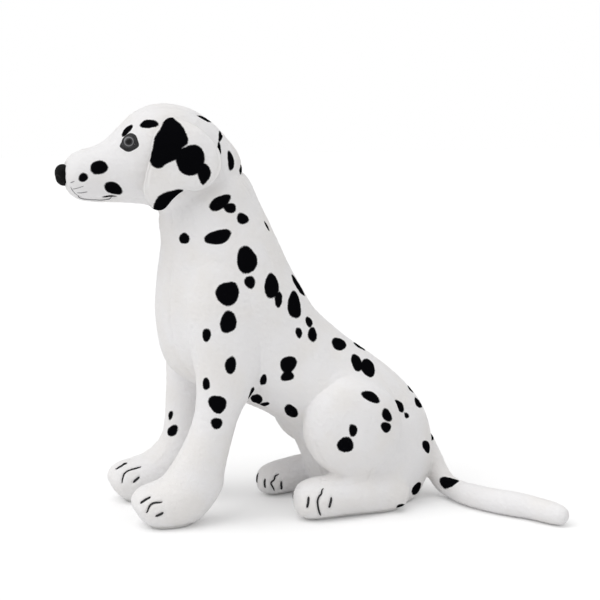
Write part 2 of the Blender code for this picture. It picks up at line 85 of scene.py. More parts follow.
# Head: y, top z, bottom z and half width, from the muzzle back
HEAD = [
    (-344.5, 386, 368, 10), (-343, 391, 362, 17.5), (-339.5, 395.5, 355.5, 23),
    (-333, 399.5, 350, 27), (-325, 402.5, 347, 28.5), (-310, 406, 345.5, 29.5),
    (-298, 413, 345, 31), (-285, 426, 344.5, 35), (-272, 439, 343, 40.5),
    (-255, 447.5, 340, 44.5), (-238, 450, 332, 46.5), (-220, 448, 325, 46.5),
    (-200, 440.5, 322, 44), (-182, 427, 324, 38), (-168, 412, 333, 30), (-158, 400, 346, 20),
    (-152, 388, 362, 9),
]
# Foreleg: front (y, z), back (y, z), half width and distance from the middle plane
FORELEG = [
    ((-198, 292), (-178, 292), 8, 42), ((-214, 276), (-160, 276), 17, 46),
    ((-222, 250), (-146, 250), 21, 51), ((-223, 215), (-142, 215), 23, 55),
    ((-219, 180), (-141, 180), 25, 57), ((-216, 150), (-149, 150), 24.5, 58),
    ((-218, 118), (-168, 118), 22.5, 58), ((-228, 92), (-178, 88), 22.5, 58),
    ((-240, 70), (-185, 56), 24, 58), ((-253, 53), (-189, 34), 27, 58),
    ((-266, 47), (-213, 5), 29.5, 58), ((-278, 43), (-238, -4), 29, 58),
    ((-286, 35), (-262, -3), 23, 58), ((-289, 27), (-278, 8), 11, 58),
]
# The right foreleg leans in under the chest, and its paw reaches further forward: z, then shift in y
LEG_TOP = 182
RIGHT_LEAN = 12
RIGHT_REACH = [
    (0, -9), (42, -11), (50, -3), (60, 3), (75, 3), (95, -4), (118, -11), (150, -12), (180, -9),
    (215, -3), (240, 0),
]
# Hind foot: y, top z, bottom z and half width, from the toes back
HIND_FOOT = [
    (-114, 31, 13, 9), (-110, 40, 4, 18), (-98, 46, -1, 24), (-75, 48, -1, 26), (-50, 47, -1, 25),
    (-25, 45, -1, 23), (0, 41, -1, 19), (16, 33, 3, 13), (23, 25, 10, 6),
]
# For each side's foot: toe and heel distance from the middle plane, reach ahead, and flattening
FOOT_POSE = {1: (77, 66, -3, 0.05), -1: (27, 62, 15, 0.24)}
# Thigh: distance from the middle plane and radius, from the body outwards
THIGH = [(40, 44), (58, 52), (72, 55), (84, 51), (92, 42.5), (98, 29), (101, 12)]
THIGH_CENTRE = (-45, 99)
# Tail: x, y, z and radius, from inside the rump to the tip
TAIL = [
    (-1, 50, 72, 11), (0, 61, 62, 13), (5, 69, 45, 13), (15, 75, 27, 12.8), (31, 79, 15.5, 12.6),
    (52, 85, 12.6, 12.5), (80, 94, 13.2, 13.4), (111, 114, 13.4, 13.8), (139, 138, 13, 13.4),
    (161, 153, 12.4, 12.6), (174, 161, 11.8, 10.6), (179, 165, 11.4, 6.5),
]
# Ear outline seen from the side: y, z
EAR = [
    (-246, 429), (-235, 436), (-216, 431), (-200, 420), (-187, 402), (-185, 383), (-194, 368),
    (-209, 360), (-225, 360), (-236, 353), (-248, 341), (-260, 343), (-268, 358), (-266, 376),
    (-260, 396), (-256, 416),
]

# Where the neck, the nod and the tail bend; each length is along that joint's axis or way
JOINTS = {joint["name"]: joint for joint in frame["joints"]}
NECK_AXIS = np.array(JOINTS["neck_turn"]["axis"])
NECK_POINT = np.array(JOINTS["neck_turn"]["pos_m"]) / MM
NECK_BEND = (-14, 22)
NOD_NORMAL = np.array([0, -0.289, 0.957])
NOD_POINT = np.array([0, -190, 336])
TIP_POINT = np.array(JOINTS["tail_tip_bend"]["pos_m"]) / MM
TIP_WAY = np.array([0.8, 0.6, 0])


# ---- Numbers ----


def through_stations(rows, steps):
    """Rows of numbers along a smooth curve through the given rows, steps to each span."""
    rows = np.array(rows, float)
    padded = np.vstack([2 * rows[0] - rows[1], rows, 2 * rows[-1] - rows[-2]])
    found = []
    for index in range(len(rows) - 1):
        before, start, end, after = padded[index : index + 4]
        for step in range(steps):
            t = step / steps
            slope_in = (end - before) / 2
            slope_out = (after - start) / 2
            found.append(
                start * (2 * t**3 - 3 * t**2 + 1)
                + slope_in * (t**3 - 2 * t**2 + t)
                + end * (3 * t**2 - 2 * t**3)
                + slope_out * (t**3 - t**2)
            )
    found.append(rows[-1])
    return np.array(found)


def angles(count):
    return np.arange(count) * TURN / count


def lengths_along(rows):
    """Distance of each row from the first, along the line through them."""
    return np.concatenate([[0], np.cumsum(np.linalg.norm(np.diff(rows, axis=0), axis=1))])


def rows_at(at, length, rows):
    """Rows at the given distances along a line whose rows lie at the given lengths."""
    return np.stack([np.interp(at, length, column) for column in rows.T], axis=1)


def looked_up(at, table):
    """Values at the given places from a table of (place, value) rows, straight between them."""
    return np.interp(at, *np.array(table, float).T)


def smooth_step(low, high, value):
    """0 at low and 1 at high, smooth between; low may be the greater of the two."""
    share = np.clip((value - low) / (high - low), 0, 1)
    return share * share * (3 - 2 * share)


def unit(vectors):
    """The vectors, each scaled to a length of one."""
    return vectors / np.maximum(np.linalg.norm(vectors, axis=-1, keepdims=True), 1e-9)


# ---- Lofts ----


def station_rows(stations):
    """Smooth rows of front (y, z), back (y, z), half width and x, which is 0 if not given."""
    rows = [(*front, *back, width, *(x or [0])) for front, back, width, *x in stations]
    return through_stations(rows, STEPS)


def oval_loft(stations):
    """Oval rings through (front, back, half width, x) stations, angle 0 at the front."""
    angle = angles(AROUND)
    rings = []
    for y, z, rear_y, rear_z, width, x in station_rows(stations):
        front, back = np.array([x, y, z]), np.array([x, rear_y, rear_z])
        centre, reach = (front + back) / 2, (front - back) / 2
        across = np.outer(np.sin(angle), [max(width, 1), 0, 0])
        rings.append(centre + np.outer(np.cos(angle), reach) + across)
    return np.array(rings)


def upright_loft(stations):
    """Rings through (y, top, bottom, half width) stations, angle 0 at the top."""
    return oval_loft([((y, top), (y, bottom), width) for y, top, bottom, width in stations])


def tube_loft(path):
    """Round rings along a path of (x, y, z, radius)."""
    points = through_stations(path, STEPS)
    tangents = unit(np.gradient(points[:, :3], axis=0))
    angle = angles(AROUND // 2)
    rings = []
    for row, tangent in zip(points, tangents):
        side = unit(np.cross(tangent, [0.3, -1, 0.2]))
        other = np.cross(tangent, side)
        around = np.outer(np.cos(angle), side) + np.outer(np.sin(angle), other)
        rings.append(row[:3] + row[3] * around)
    return np.array(rings)


def thigh_loft(side):
    angle = angles(AROUND)
    rings = []
    for distance, radius in through_stations(THIGH, STEPS):
        y = THIGH_CENTRE[0] + radius * np.cos(angle)
        z = THIGH_CENTRE[1] + radius * np.sin(angle)
        rings.append(np.stack([np.full(AROUND, side * distance), y, z], axis=1))
    return np.array(rings)


def leg_lean(side, z):
    """How far the right foreleg leans in under the chest at each height."""
    return (0 if side > 0 else RIGHT_LEAN) * np.clip((LEG_TOP - z) / LEG_TOP, 0, 1)


def foreleg_loft(side):
    """A foreleg; the right one leans in, and its paw reaches further forward."""
    rows = []
    for (y, z), (rear_y, rear_z), width, x in FORELEG:
        ahead = 0 if side > 0 else looked_up(z, RIGHT_REACH)
        x = side * (x - leg_lean(side, z))
        rows.append(((y + ahead, z), (rear_y + ahead, rear_z), width, x))
    return oval_loft(rows)


def hind_foot_loft(side):
    """The left foot points outwards; the right foot is flatter, turned in and further forward."""
    rings = upright_loft(HIND_FOOT)
    toe, heel, ahead, flat = FOOT_POSE[side]
    share = (rings[:, :, 1] - HIND_FOOT[0][0]) / (HIND_FOOT[-1][0] - HIND_FOOT[0][0])
    rings[:, :, 0] += side * (toe + (heel - toe) * share)
    rings[:, :, 1] -= ahead * (1 - share)
    rings[:, :, 2] *= 1 - flat * (1 - share)
    return rings


def bands(first, last, around):
    """Quads between rings of points that follow one another; first and last number the rings."""
    faces = []
    for low in range(first, last, around):
        for i in range(around):
            j = (i + 1) % around
            faces.append((low + i, low + j, low + around + j, low + around + i))
    return faces


def loft_mesh(rings):
    """Points and faces of the closed body through the rings."""
    count, around = rings.shape[:2]
    points = np.vstack([rings.reshape(-1, 3), rings[0].mean(0), rings[-1].mean(0)])
    last, end = (count - 1) * around, count * around
    faces = bands(0, last, around)
    for i in range(around):
        j = (i + 1) % around
        faces += [(end, j, i), (end + 1, last + i, last + j)]
    return points, faces


# ---- The union skin ----


def mesh_object(name, points, faces, outward=False):
    mesh = bpy.data.meshes.new(name)
    mesh.from_pydata((np.asarray(points) * MM).tolist(), [], [tuple(face) for face in faces])
    if outward:
        work = bmesh.new()
        work.from_mesh(mesh)
        bmesh.ops.recalc_face_normals(work, faces=work.faces[:])
        work.to_mesh(mesh)
        work.free()
    thing = bpy.data.objects.new(name, mesh)
    bpy.context.scene.collection.objects.link(thing)
    return thing


def drop(thing):
    mesh = thing.data
    bpy.data.objects.remove(thing, do_unlink=True)
    bpy.data.meshes.remove(mesh)


def applied(thing):
    """(points in mm, quads, label of each quad) after the modifiers; the thing is dropped."""
    graph = bpy.context.evaluated_depsgraph_get()
    mesh = bpy.data.meshes.new_from_object(thing.evaluated_get(graph))
    points = np.empty(len(mesh.vertices) * 3)
    mesh.vertices.foreach_get("co", points)
    corners = np.empty(len(mesh.loops), np.int64)
    mesh.loops.foreach_get("vertex_index", corners)
    label = np.empty(len(mesh.polygons), np.int32)
    mesh.polygons.foreach_get("material_index", label)
    drop(thing)
    bpy.data.meshes.remove(mesh)
    return points.reshape(-1, 3) / MM, corners.reshape(-1, 4), label


def remeshed(lofts):
    """One even skin of quads round the union of all the lofts."""
    points, faces, used = [], [], 0
    for loft in lofts:
        some, quads = loft_mesh(loft)
        one = mesh_object("loft", some, quads, outward=True)
        faces += [tuple(i + used for i in face.vertices) for face in one.data.polygons]
        points.append(some)
        used += len(some)
        drop(one)
    whole = mesh_object("union", np.vstack(points), faces)
    remesh = whole.modifiers.new("remesh", "REMESH")
    remesh.mode = "VOXEL"
    remesh.voxel_size = VOXEL * MM
    return applied(whole)[:2]


def directed_edges(quads):
    """Both ends of every side of every quad, first sides first."""
    return np.vstack([quads[:, [k, (k + 1) % 4]] for k in range(4)])


def edges_of(quads):
    return np.unique(np.sort(directed_edges(quads), axis=1), axis=0)


def neighbour_mean(points, edges):
    a, b = edges[:, 0], edges[:, 1]
    count = len(points)
    degree = np.bincount(a, minlength=count) + np.bincount(b, minlength=count)
    total = np.zeros_like(points)
    for axis in range(points.shape[1]):
        total[:, axis] += np.bincount(a, points[b, axis], count)
        total[:, axis] += np.bincount(b, points[a, axis], count)
    return total / np.maximum(degree, 1)[:, None]


def relaxed(points, edges, rounds, loose=1.0):
    """Each round moves the points half way to their neighbours' mean, where loose is 1."""
    for _ in range(rounds):
        points = points + 0.5 * loose * (neighbour_mean(points, edges) - points)
    return points


def filled(points, quads, edges, share, rounds):
    """Lets the cloth bridge its hollows: points move outwards only, where share is above 0."""
    for _ in range(rounds):
        normals = point_normals(points, quads)
        pull = neighbour_mean(points, edges) - points
        out = (pull * normals).sum(1)
        along = pull - out[:, None] * normals
        move = np.maximum(out, 0)[:, None] * normals + 0.5 * along
        points = points + FILL_STEP * share[:, None] * move
    return points


def bridged_share(points):
    """Where the cloth runs smoothly over a joint in the body: the shoulders, hips and heels."""
    y, z, aside = points[:, 1], points[:, 2], abs(points[:, 0])
    shoulder = smooth_step(165, 215, z) * smooth_step(300, 285, z) * (y > -250) * (y < -110)
    hip = smooth_step(-75, -35, y) * smooth_step(88, 130, z) * (y < 60)
    haunch = smooth_step(-62, -30, y) * smooth_step(4, 16, z) * smooth_step(118, 88, z)
    legs = smooth_step(38, 50, aside)
    return legs * np.maximum.reduce([shoulder, hip, haunch * (y < 40)])


def face_normals(points, quads):
    across = points[quads[:, 2]] - points[quads[:, 0]]
    other = points[quads[:, 3]] - points[quads[:, 1]]
    return np.cross(across, other)


def point_normals(points, quads):
    normals = np.zeros_like(points)
    face = face_normals(points, quads)
    for corner in range(4):
        for axis in range(3):
            normals[:, axis] += np.bincount(quads[:, corner], face[:, axis], len(points))
    return unit(normals)


def surface_of(points, quads):
    """A search tree over the faces of a mesh."""
    return BVHTree.FromPolygons(points.tolist(), quads.tolist())


def distance_to(loft, places):
    points, faces = loft_mesh(loft)
    tree = BVHTree.FromPolygons(points.tolist(), faces)
    return np.array([tree.find_nearest(Vector(place))[3] for place in places])


# ---- Regions of the skin, one for each cover ----

GUSSET_ANGLE = 0.5
CROWN_WIDTH = [(-350, 5), (-310, 9), (-270, 14), (-220, 17), (-160, 11)]
CHIN_WIDTH = [(-350, 7), (-320, 15), (-270, 20), (-230, 26)]
FACING_DOWN = -0.6
SOLE_HEIGHT = 2.2
PAW_SOLE_HEIGHT = 3.0
TAIL_SPLIT = 19
# Search round the spine: places at a time, reach in half depths, and a length beyond any found
CHUNK = 4000
SPINE_REACH = 1.6
TOO_FAR = 1000

# Each cover of the skin, with the CAD solids that it stands for
STANDS_FOR = {
    "torso_left_cover": ["torso_left_panel", "torso_stuffing"],
    "torso_right_cover": ["torso_right_panel"],
    "belly_gusset_cover": ["belly_gusset"],
    "seat_cover": ["seat_panel"],
    "neck_cover_plush": ["neck_cover", "neck_stuffing"],
    "head_left_cover": ["head_left_panel", "head_stuffing"],
    "head_right_cover": ["head_right_panel"],
    "crown_gusset_cover": ["head_gusset"],
    "chin_cover": ["chin_panel"],
}
for leg in ("foreleg_left", "foreleg_right"):
    STANDS_FOR[f"{leg}_outer_cover"] = [f"{leg}_outer_panel", f"{leg}_stuffing"]
    STANDS_FOR[f"{leg}_inner_cover"] = [f"{leg}_inner_panel"]
    STANDS_FOR[f"{leg}_sole_cover"] = [f"{leg}_sole"]
for thigh in ("thigh_left", "thigh_right"):
    STANDS_FOR[f"{thigh}_cover"] = [f"{thigh}_panel", f"{thigh}_stuffing"]
for foot in ("hind_foot_left", "hind_foot_right"):
    STANDS_FOR[f"{foot}_plush"] = [f"{foot}_cover", f"{foot}_stuffing"]
    STANDS_FOR[f"{foot}_sole_cover"] = [f"{foot}_sole"]
for length in ("tail_base", "tail_tip"):
    STANDS_FOR[f"{length}_plush"] = [f"{length}_cover", f"{length}_stuffing"]
COVERS = list(STANDS_FOR)
LABEL = {name: index for index, name in enumerate(COVERS)}
# Neighbours that share one length of cloth, so no seam is sunk between them
SMOOTH_JOINS = [{"tail_base_plush", "tail_tip_plush"}]
for cover in COVERS:
    if cover.startswith(("torso", "belly", "head", "crown", "chin")):
        SMOOTH_JOINS.append({cover, "neck_cover_plush"})


def around_spine(stations, places):
    """Angle of each place round a loft's spine: 0 at the front, and signed with x."""
    rows = station_rows(stations)
    front, back = rows[:, 0:2], rows[:, 2:4]
    centre, reach = (front + back) / 2, (front - back) / 2
    depth = np.linalg.norm(reach, axis=1)
    nearest = np.empty(len(places), int)
    for start in range(0, len(places), CHUNK):
        some = places[start : start + CHUNK, None, 1:]
        off = some - centre[None]
        along = np.abs(np.cross(off, reach[None] / depth[None, :, None]))
        far = np.linalg.norm(off, axis=2) > SPINE_REACH * depth[None]
        nearest[start : start + CHUNK] = np.argmin(along + TOO_FAR * far, axis=1)
    off = places[:, 1:] - centre[nearest]
    ahead = (off * reach[nearest]).sum(1) / depth[nearest] ** 2
    aside = (places[:, 0] - rows[nearest, 5]) / rows[nearest, 4]
    return np.arctan2(aside, ahead)


def head_labels(places):
    rows = np.array(HEAD, float)
    y = places[:, 1]
    middle = np.interp(y, rows[:, 0], (rows[:, 1] + rows[:, 2]) / 2)
    x, above = places[:, 0], places[:, 2] > middle
    label = np.where(x > 0, LABEL["head_left_cover"], LABEL["head_right_cover"])
    label[above & (abs(x) < looked_up(y, CROWN_WIDTH))] = LABEL["crown_gusset_cover"]
    label[~above & (abs(x) < looked_up(y, CHIN_WIDTH))] = LABEL["chin_cover"]
    return label


def torso_labels(places, normals):
    x = places[:, 0]
    label = np.where(x > 0, LABEL["torso_left_cover"], LABEL["torso_right_cover"])
    angle = around_spine(TRUNK, places)
    label[abs(angle) < GUSSET_ANGLE] = LABEL["belly_gusset_cover"]
    along_neck = (places - NECK_POINT) @ NECK_AXIS
    label[along_neck > NECK_BEND[0]] = LABEL["neck_cover_plush"]
    label[(places[:, 2] < SOLE_HEIGHT) & (normals[:, 2] < FACING_DOWN)] = LABEL["seat_cover"]
    above_nod = (places - NOD_POINT) @ NOD_NORMAL > 0
    label[above_nod] = head_labels(places[above_nod])
    return label


def leg_centre(side, places):
    """Distance of the foreleg's middle from the dog's middle plane at each place."""
    z = places[:, 2]
    return looked_up(z, sorted((row[0][1], row[3]) for row in FORELEG)) - leg_lean(side, z)


def all_labels(places, normals, distances):
    """The cover that each place belongs to, from the loft whose surface is nearest."""
    names = list(distances)
    nearest = np.argmin(np.stack([distances[name] for name in names]), axis=0)
    label = torso_labels(places, normals)
    under = (places[:, 2] < PAW_SOLE_HEIGHT) & (normals[:, 2] < FACING_DOWN)
    for side, word in SIDES:
        leg = nearest == names.index(f"foreleg_{word}")
        outer = side * places[:, 0] > leg_centre(side, places)
        label[leg & outer] = LABEL[f"foreleg_{word}_outer_cover"]
        label[leg & ~outer] = LABEL[f"foreleg_{word}_inner_cover"]
        label[leg & under] = LABEL[f"foreleg_{word}_sole_cover"]
        label[nearest == names.index(f"thigh_{word}")] = LABEL[f"thigh_{word}_cover"]
        foot = nearest == names.index(f"hind_foot_{word}")
        label[foot] = LABEL[f"hind_foot_{word}_plush"]
        label[foot & under] = LABEL[f"hind_foot_{word}_sole_cover"]
    tail = nearest == names.index("tail")
    beyond = (places - TIP_POINT) @ TIP_WAY > -TAIL_SPLIT
    label[tail] = LABEL["tail_base_plush"]
    label[tail & beyond] = LABEL["tail_tip_plush"]
    return label


def face_pairs(quads):
    """(pairs of neighbouring faces, the edge between each pair)."""
    ends = np.sort(directed_edges(quads), axis=1)
    face = np.tile(np.arange(len(quads)), 4)
    order = np.lexsort((ends[:, 1], ends[:, 0]))
    ends, face = ends[order], face[order]
    same = (ends[1:] == ends[:-1]).all(1)
    return np.stack([face[:-1][same], face[1:][same]], axis=1), ends[1:][same]


def tidied(label, pairs):
    """Each face takes the label that most of its neighbours hold."""
    for _ in range(LABEL_ROUNDS):
        votes = np.zeros((len(label), len(COVERS)))
        np.add.at(votes, (pairs[:, 0], label[pairs[:, 1]]), 1)
        np.add.at(votes, (pairs[:, 1], label[pairs[:, 0]]), 1)
        votes[np.arange(len(label)), label] += OWN_VOTE
        label = votes.argmax(1)
    return label


def islands_absorbed(label, pairs):
    """Small separate patches of a label join the neighbour that they touch most."""
    for _ in range(3):
        group = np.arange(len(label))
        same = label[pairs[:, 0]] == label[pairs[:, 1]]
        a, b = pairs[same].T
        while True:
            low = np.minimum(group[a], group[b])
            new = group.copy()
            np.minimum.at(new, a, low)
            np.minimum.at(new, b, low)
            new = new[new]
            if (new == group).all():
                break
            group = new
        size = np.bincount(group, minlength=len(label))[group]
        small = size < SMALLEST_PATCH
        if not small.any():
            return label
        votes = {}
        for one, other in pairs[~same]:
            for left, right in ((one, other), (other, one)):
                if small[left] and not small[right]:
                    votes.setdefault(group[left], []).append(label[right])
        for patch, found in votes.items():
            label[group == patch] = np.bincount(found).argmax()
    return label


def seam_edges(label, pairs, edges):
    apart = label[pairs[:, 0]] != label[pairs[:, 1]]
    return edges[apart], label[pairs[apart]]


def smoothed_seams(points, quads, label, pairs, edges):
    """Evens out the seam lines over the surface, and the skin beside them."""
    seam, _ = seam_edges(label, pairs, edges)
    degree = np.bincount(seam.ravel(), minlength=len(points))
    moved = relaxed(points, seam, SEAM_ROUNDS, (degree == 2)[:, None])
    every = edges_of(quads)
    near = degree > 0
    for _ in range(3):
        grown = near[every[:, 0]] | near[every[:, 1]]
        near[every[grown].ravel()] = True
    beside = near & (degree == 0)
    moved = relaxed(moved, every, BESIDE_ROUNDS, beside[:, None])
    tree = surface_of(points, quads)
    for index in np.flatnonzero(near):
        moved[index] = tree.find_nearest(Vector(moved[index]))[0]
    return moved


def subdivided(points, quads, label):
    """One Catmull-Clark subdivision that keeps each face's label."""
    coarse = mesh_object("coarse", points, quads)
    coarse.data.polygons.foreach_set("material_index", label.astype(np.int32))
    for _ in COVERS:
        coarse.data.materials.append(None)
    smooth = coarse.modifiers.new("smooth", "SUBSURF")
    smooth.levels = smooth.render_levels = 1
    return applied(coarse)


def skin_lofts():
    lofts = {"trunk": oval_loft(TRUNK), "head": upright_loft(HEAD), "tail": tube_loft(TAIL)}
    for side, word in SIDES:
        lofts[f"foreleg_{word}"] = foreleg_loft(side)
        lofts[f"thigh_{word}"] = thigh_loft(side)
        lofts[f"hind_foot_{word}"] = hind_foot_loft(side)
    return lofts


def make_skin():
    """The whole dog's even, smooth skin, and each face's cover."""
    lofts = skin_lofts()
    points, quads = remeshed(lofts.values())
    edges = edges_of(quads)
    distances = {name: distance_to(loft, points) for name, loft in lofts.items()}
    points = relaxed(points, edges, RELAX_ROUNDS)
    points = filled(points, quads, edges, bridged_share(points), FILL_ROUNDS)
    spread = {name: far[quads].mean(1) for name, far in distances.items()}
    label = all_labels(points[quads].mean(1), unit(face_normals(points, quads)), spread)
    pairs, between = face_pairs(quads)
    label = tidied(label, pairs)
    label = islands_absorbed(label, pairs)
    points = smoothed_seams(points, quads, label, pairs, between)
    return subdivided(points, quads, label)


# ---- Printed spots ----

# Each spot: x, y, z of its middle, half length, half width, and its turn from level in degrees
FACE_SPOTS = [
    (28, -328, 374, 5, 4.5, -70), (28, -311, 384.5, 8.8, 8.2, -20), (27, -296, 362, 10, 7.5, 40),
    (19, -299, 349.5, 8, 3.2, -18), (32, -258, 429.5, 10.2, 5.4, -6),
]
NAPE_SPOT = (13, -194, 434, 12, 3.5, 20)
NECK_SPOTS = [
    (19, -178, 416, 11, 3, -35), (33, -183, 402, 8, 3, -70), (28, -169, 389, 10, 6, -75),
    (11, -153, 377, 10, 6, 5), (45, -185, 346, 14, 6.5, -25), (45, -174, 340, 8, 5, 0),
    (44, -160, 328, 8, 6, -10), (52, -189, 310, 14, 8, -20), (38, -223, 308, 6, 6, -25),
    (27, -130, 317, 6, 2.5, 75),
]
BODY_SPOTS = [
    (58, -159, 285, 15, 12, -65), (64, -157, 262, 7.5, 6, -80), (58, -132, 256, 15, 9, -80),
    (59, -125, 241, 9, 5, -75), (49, -104, 233, 15, 12, -70), (26, -93, 251, 14, 9, 70),
    (60, -102, 204, 6, 4.5, -65), (53, -85, 200, 10, 6, -50), (46, -87, 213, 7, 5, -75),
    (41, -51, 186, 13, 8, -20), (10, -18, 176, 12, 8, 10), (51, -34, 166, 12, 8, -50),
    (49, -20, 159, 15, 10, -30), (71, -117, 172, 10, 9, 10), (72, -118, 159, 8, 5, -10),
    (68, -144, 156, 7, 3.5, -85), (48, -147, 130, 13, 7, -80), (44, -137, 124, 9, 4, -40),
    (55, -110, 116, 12, 8, -80), (62, 11, 116, 10, 6.5, 50), (61, 21, 105, 4, 3, 20),
    (17, 41, 125, 10, 5, 10), (30, 46, 111, 12, 7, 5), (7, 71, 67, 11, 6, -15),
    (47, 51, 64, 12, 7, 35), (49, 39, 16, 13, 8, 30), (77, 10, 6, 8, 4, 25),
]
FORELEG_SPOTS = [
    (71, -183, 252, 14, 12, -80), (77, -184, 222, 12, 9, -90), (74, -207, 209, 7, 5, -90),
    (82, -183, 177, 9, 6.5, -80), (74, -208, 156, 7, 4.5, -80), (80, -197, 135, 10, 9, -85),
    (80, -198, 114, 6.5, 6, -30), (67, -158, 142, 9, 5.5, 50),
]
THIGH_SPOTS = [
    (93, -31, 136, 11, 6, 25), (95, -13, 115, 8, 6, 55), (97, -14, 102, 7, 6, 45),
    (101, -53, 102, 7, 4.5, 90), (100, -61, 86, 9.5, 8.5, 75),
]
FAR_LEG_SPOTS = [(-38, -230, 98, 6, 3.5, -80), (-33, -227, 81, 7.5, 6, -60)]
TAIL_SPOT = (50, 77, 22, 13, 8, -5)
LASH_SPOT = (23, -280.5, 423, 7.5, 4.8, -55)
FAR_AWAY = 30.0
SPOT_MARGIN = 8
SAME_SIDE = 0.1
# Half width of the band of single spots, and how far the others move on the other side
MIDDLE_BAND = 22
SHIFT = 7
GOLDEN = 0.618


def mirrored_spots(spots, shift):
    """Spots for the other side, each moved a little; those on the middle line stay single."""
    found = []
    for index, (x, y, z, long, wide, turn) in enumerate(spots):
        if x < MIDDLE_BAND and shift:
            continue
        way = TURN * GOLDEN * (index + 1)
        moved = (-x, y + shift * math.cos(way), z + shift * math.sin(way))
        found.append((*moved, long, wide, -turn))
    return found


def every_spot():
    groups = (NECK_SPOTS, BODY_SPOTS, FORELEG_SPOTS, THIGH_SPOTS)
    found = FACE_SPOTS + [NAPE_SPOT] + sum(groups, []) + FAR_LEG_SPOTS + [TAIL_SPOT, LASH_SPOT]
    found += mirrored_spots(FACE_SPOTS + [LASH_SPOT], 0)
    for group in groups:
        found += mirrored_spots(group, SHIFT)
    return found


def surface_frame(normal):
    """Level and rising directions along the surface."""
    level = unit(np.cross(normal, [0, 0, 1]))
    return level, np.cross(level, normal)


def spot_field(points, normals, tree, cover_tree):
    """Signed distance of each point from the nearest printed spot, below 0 inside it."""
    field = np.full(len(points), FAR_AWAY)
    for index, (x, y, z, long, wide, turn) in enumerate(every_spot()):
        place, normal, _, _ = cover_tree.find_nearest(Vector((x, y, z)))
        place, normal = np.array(place), np.array(normal)
        level, rise = surface_frame(normal)
        turn = math.radians(turn)
        along = math.cos(turn) * level + math.sin(turn) * rise
        across = -math.sin(turn) * level + math.cos(turn) * rise
        hits = tree.find_range(Vector(place), 1.5 * long + SPOT_MARGIN)
        near = np.array([hit[1] for hit in hits], int)
        near = near[normals[near] @ normal > SAME_SIDE]
        off = points[near] - place
        u, v = off @ along / long, off @ across / wide
        angle = np.arctan2(v, u)
        lobes = 1 + 0.07 * np.sin(2 * angle + index) + 0.05 * np.sin(3 * angle + 2.4 * index)
        inside = (np.hypot(u, v) / lobes - 1) * math.sqrt(long * wide)
        inside += FAR_AWAY * (abs(off @ normal) > 0.9 * long + SPOT_MARGIN)
        field[near] = np.minimum(field[near], inside)
    return field


# ---- Surface detail ----

SEAM_DEPTH = 1.2
SEAM_SPREAD = 2.2
# How much of a seam's depth is lost where the cloth bridges a hollow
BRIDGED_SEAM = 0.85
LUMP_SIZE = 34
LUMP_HEIGHT = 0.9
PILE_SIZE = 4.2
PILE_HEIGHT = 0.38

# Stitched toe lines, as points on each foot, front to side
TOE_LINES = {
    "foreleg_left": [
        [(75, -281, 31), (77, -270, 38)],
        [(82, -276, 22), (82, -270, 31), (84, -259, 34)],
        [(84, -266, 18), (87, -258, 22)],
        [(41, -281, 31), (39, -270, 38)],
        [(34, -275, 23), (33, -270, 29), (33, -264, 33)],
    ],
    "foreleg_right": [
        [(-38, -291, 42), (-40, -279, 49)],
        [(-32, -282, 25), (-31, -279, 37), (-31, -262, 42)],
        [(-28, -272, 25), (-27, -265, 31)],
        [(-68, -288, 38), (-69, -277, 44)],
        [(-72, -280, 26), (-73, -268, 34)],
    ],
    "hind_foot_left": [
        [(97, -101, 31), (97, -103, 18)],
        [(96, -84, 39), (100, -92, 24), (94, -87, 7)],
        [(99, -76, 29), (99, -79, 17)],
        [(63, -109, 31), (62, -112, 19)],
        [(55, -96, 30), (53, -98, 17)],
    ],
    "hind_foot_right": [
        [(-12, -124, 23), (-11, -124, 12)],
        [(-10, -108, 30), (-6, -117, 18), (-6, -115, 6)],
        [(-7, -104, 19), (-6, -106, 8)],
        [(-30, -129, 26), (-30, -130, 14)],
        [(-48, -117, 26), (-49, -118, 14)],
    ],
}
MOUTH_LINE = [
    (17, -341, 363), (15, -338, 356), (13, -332, 350), (14, -316, 347.5), (17, -304, 347),
    (21, -293, 350),
]
# Creases sewn in on both sides: under the thigh, and where the foreleg leaves the chest
CREASES = [
    [(92, -98, 84), (92, -94, 68), (92, -90, 58), (92, -83, 50), (92, -76, 46)],
    [(94, -71, 45), (94, -58, 43), (94, -42, 44), (93, -25, 46), (92, -10, 49)],
    [(66, -229, 214), (66, -227, 203), (66, -222, 190), (66, -218, 176)],
]
WHISKERS = [
    [(20, -341, 368), (25, -337, 370)],
    [(18, -340, 360), (22, -335, 362), (26, -327, 365)],
    [(19, -334, 356), (24, -323, 358)],
]
# Depth and width of the grooves that the stitches pull in
TOE_GROOVE = (1.3, 1.7)
MOUTH_GROOVE = (0.9, 1.6)
CREASE_GROOVE = (1.3, 2.2)
GROOVE_REACH = 45


def line_through(places):
    """Points about a millimetre apart along a line."""
    rows = through_stations(places, CURVE_STEPS) if len(places) > 2 else np.array(places, float)
    length = lengths_along(rows)
    return rows_at(np.linspace(0, length[-1], max(int(length[-1]), 3)), length, rows)


def kd_tree(points):
    tree = KDTree(len(points))
    for index, point in enumerate(points):
        tree.insert(Vector(point), index)
    tree.balance()
    return tree


def nearest_distance(tree, points):
    return np.array([tree.find(Vector(point))[2] for point in points])


def noise_field(points, size, seed):
    """Smooth noise between about -1 and 1, with features of the given size."""
    shift = Vector((seed, seed * 0.37, seed * 1.9))
    return np.array([noise.noise(Vector(point) / size + shift) for point in points])


def to_side(line, side):
    return [(side * x, y, z) for x, y, z in line]


def groove_lines():
    """Every stitched line with the depth and width of the groove it pulls in."""
    found = [(line, *TOE_GROOVE) for lines in TOE_LINES.values() for line in lines]
    for side, _ in SIDES:
        found.append((to_side(MOUTH_LINE, side), *MOUTH_GROOVE))
        found += [(to_side(line, side), *CREASE_GROOVE) for line in CREASES]
    return found


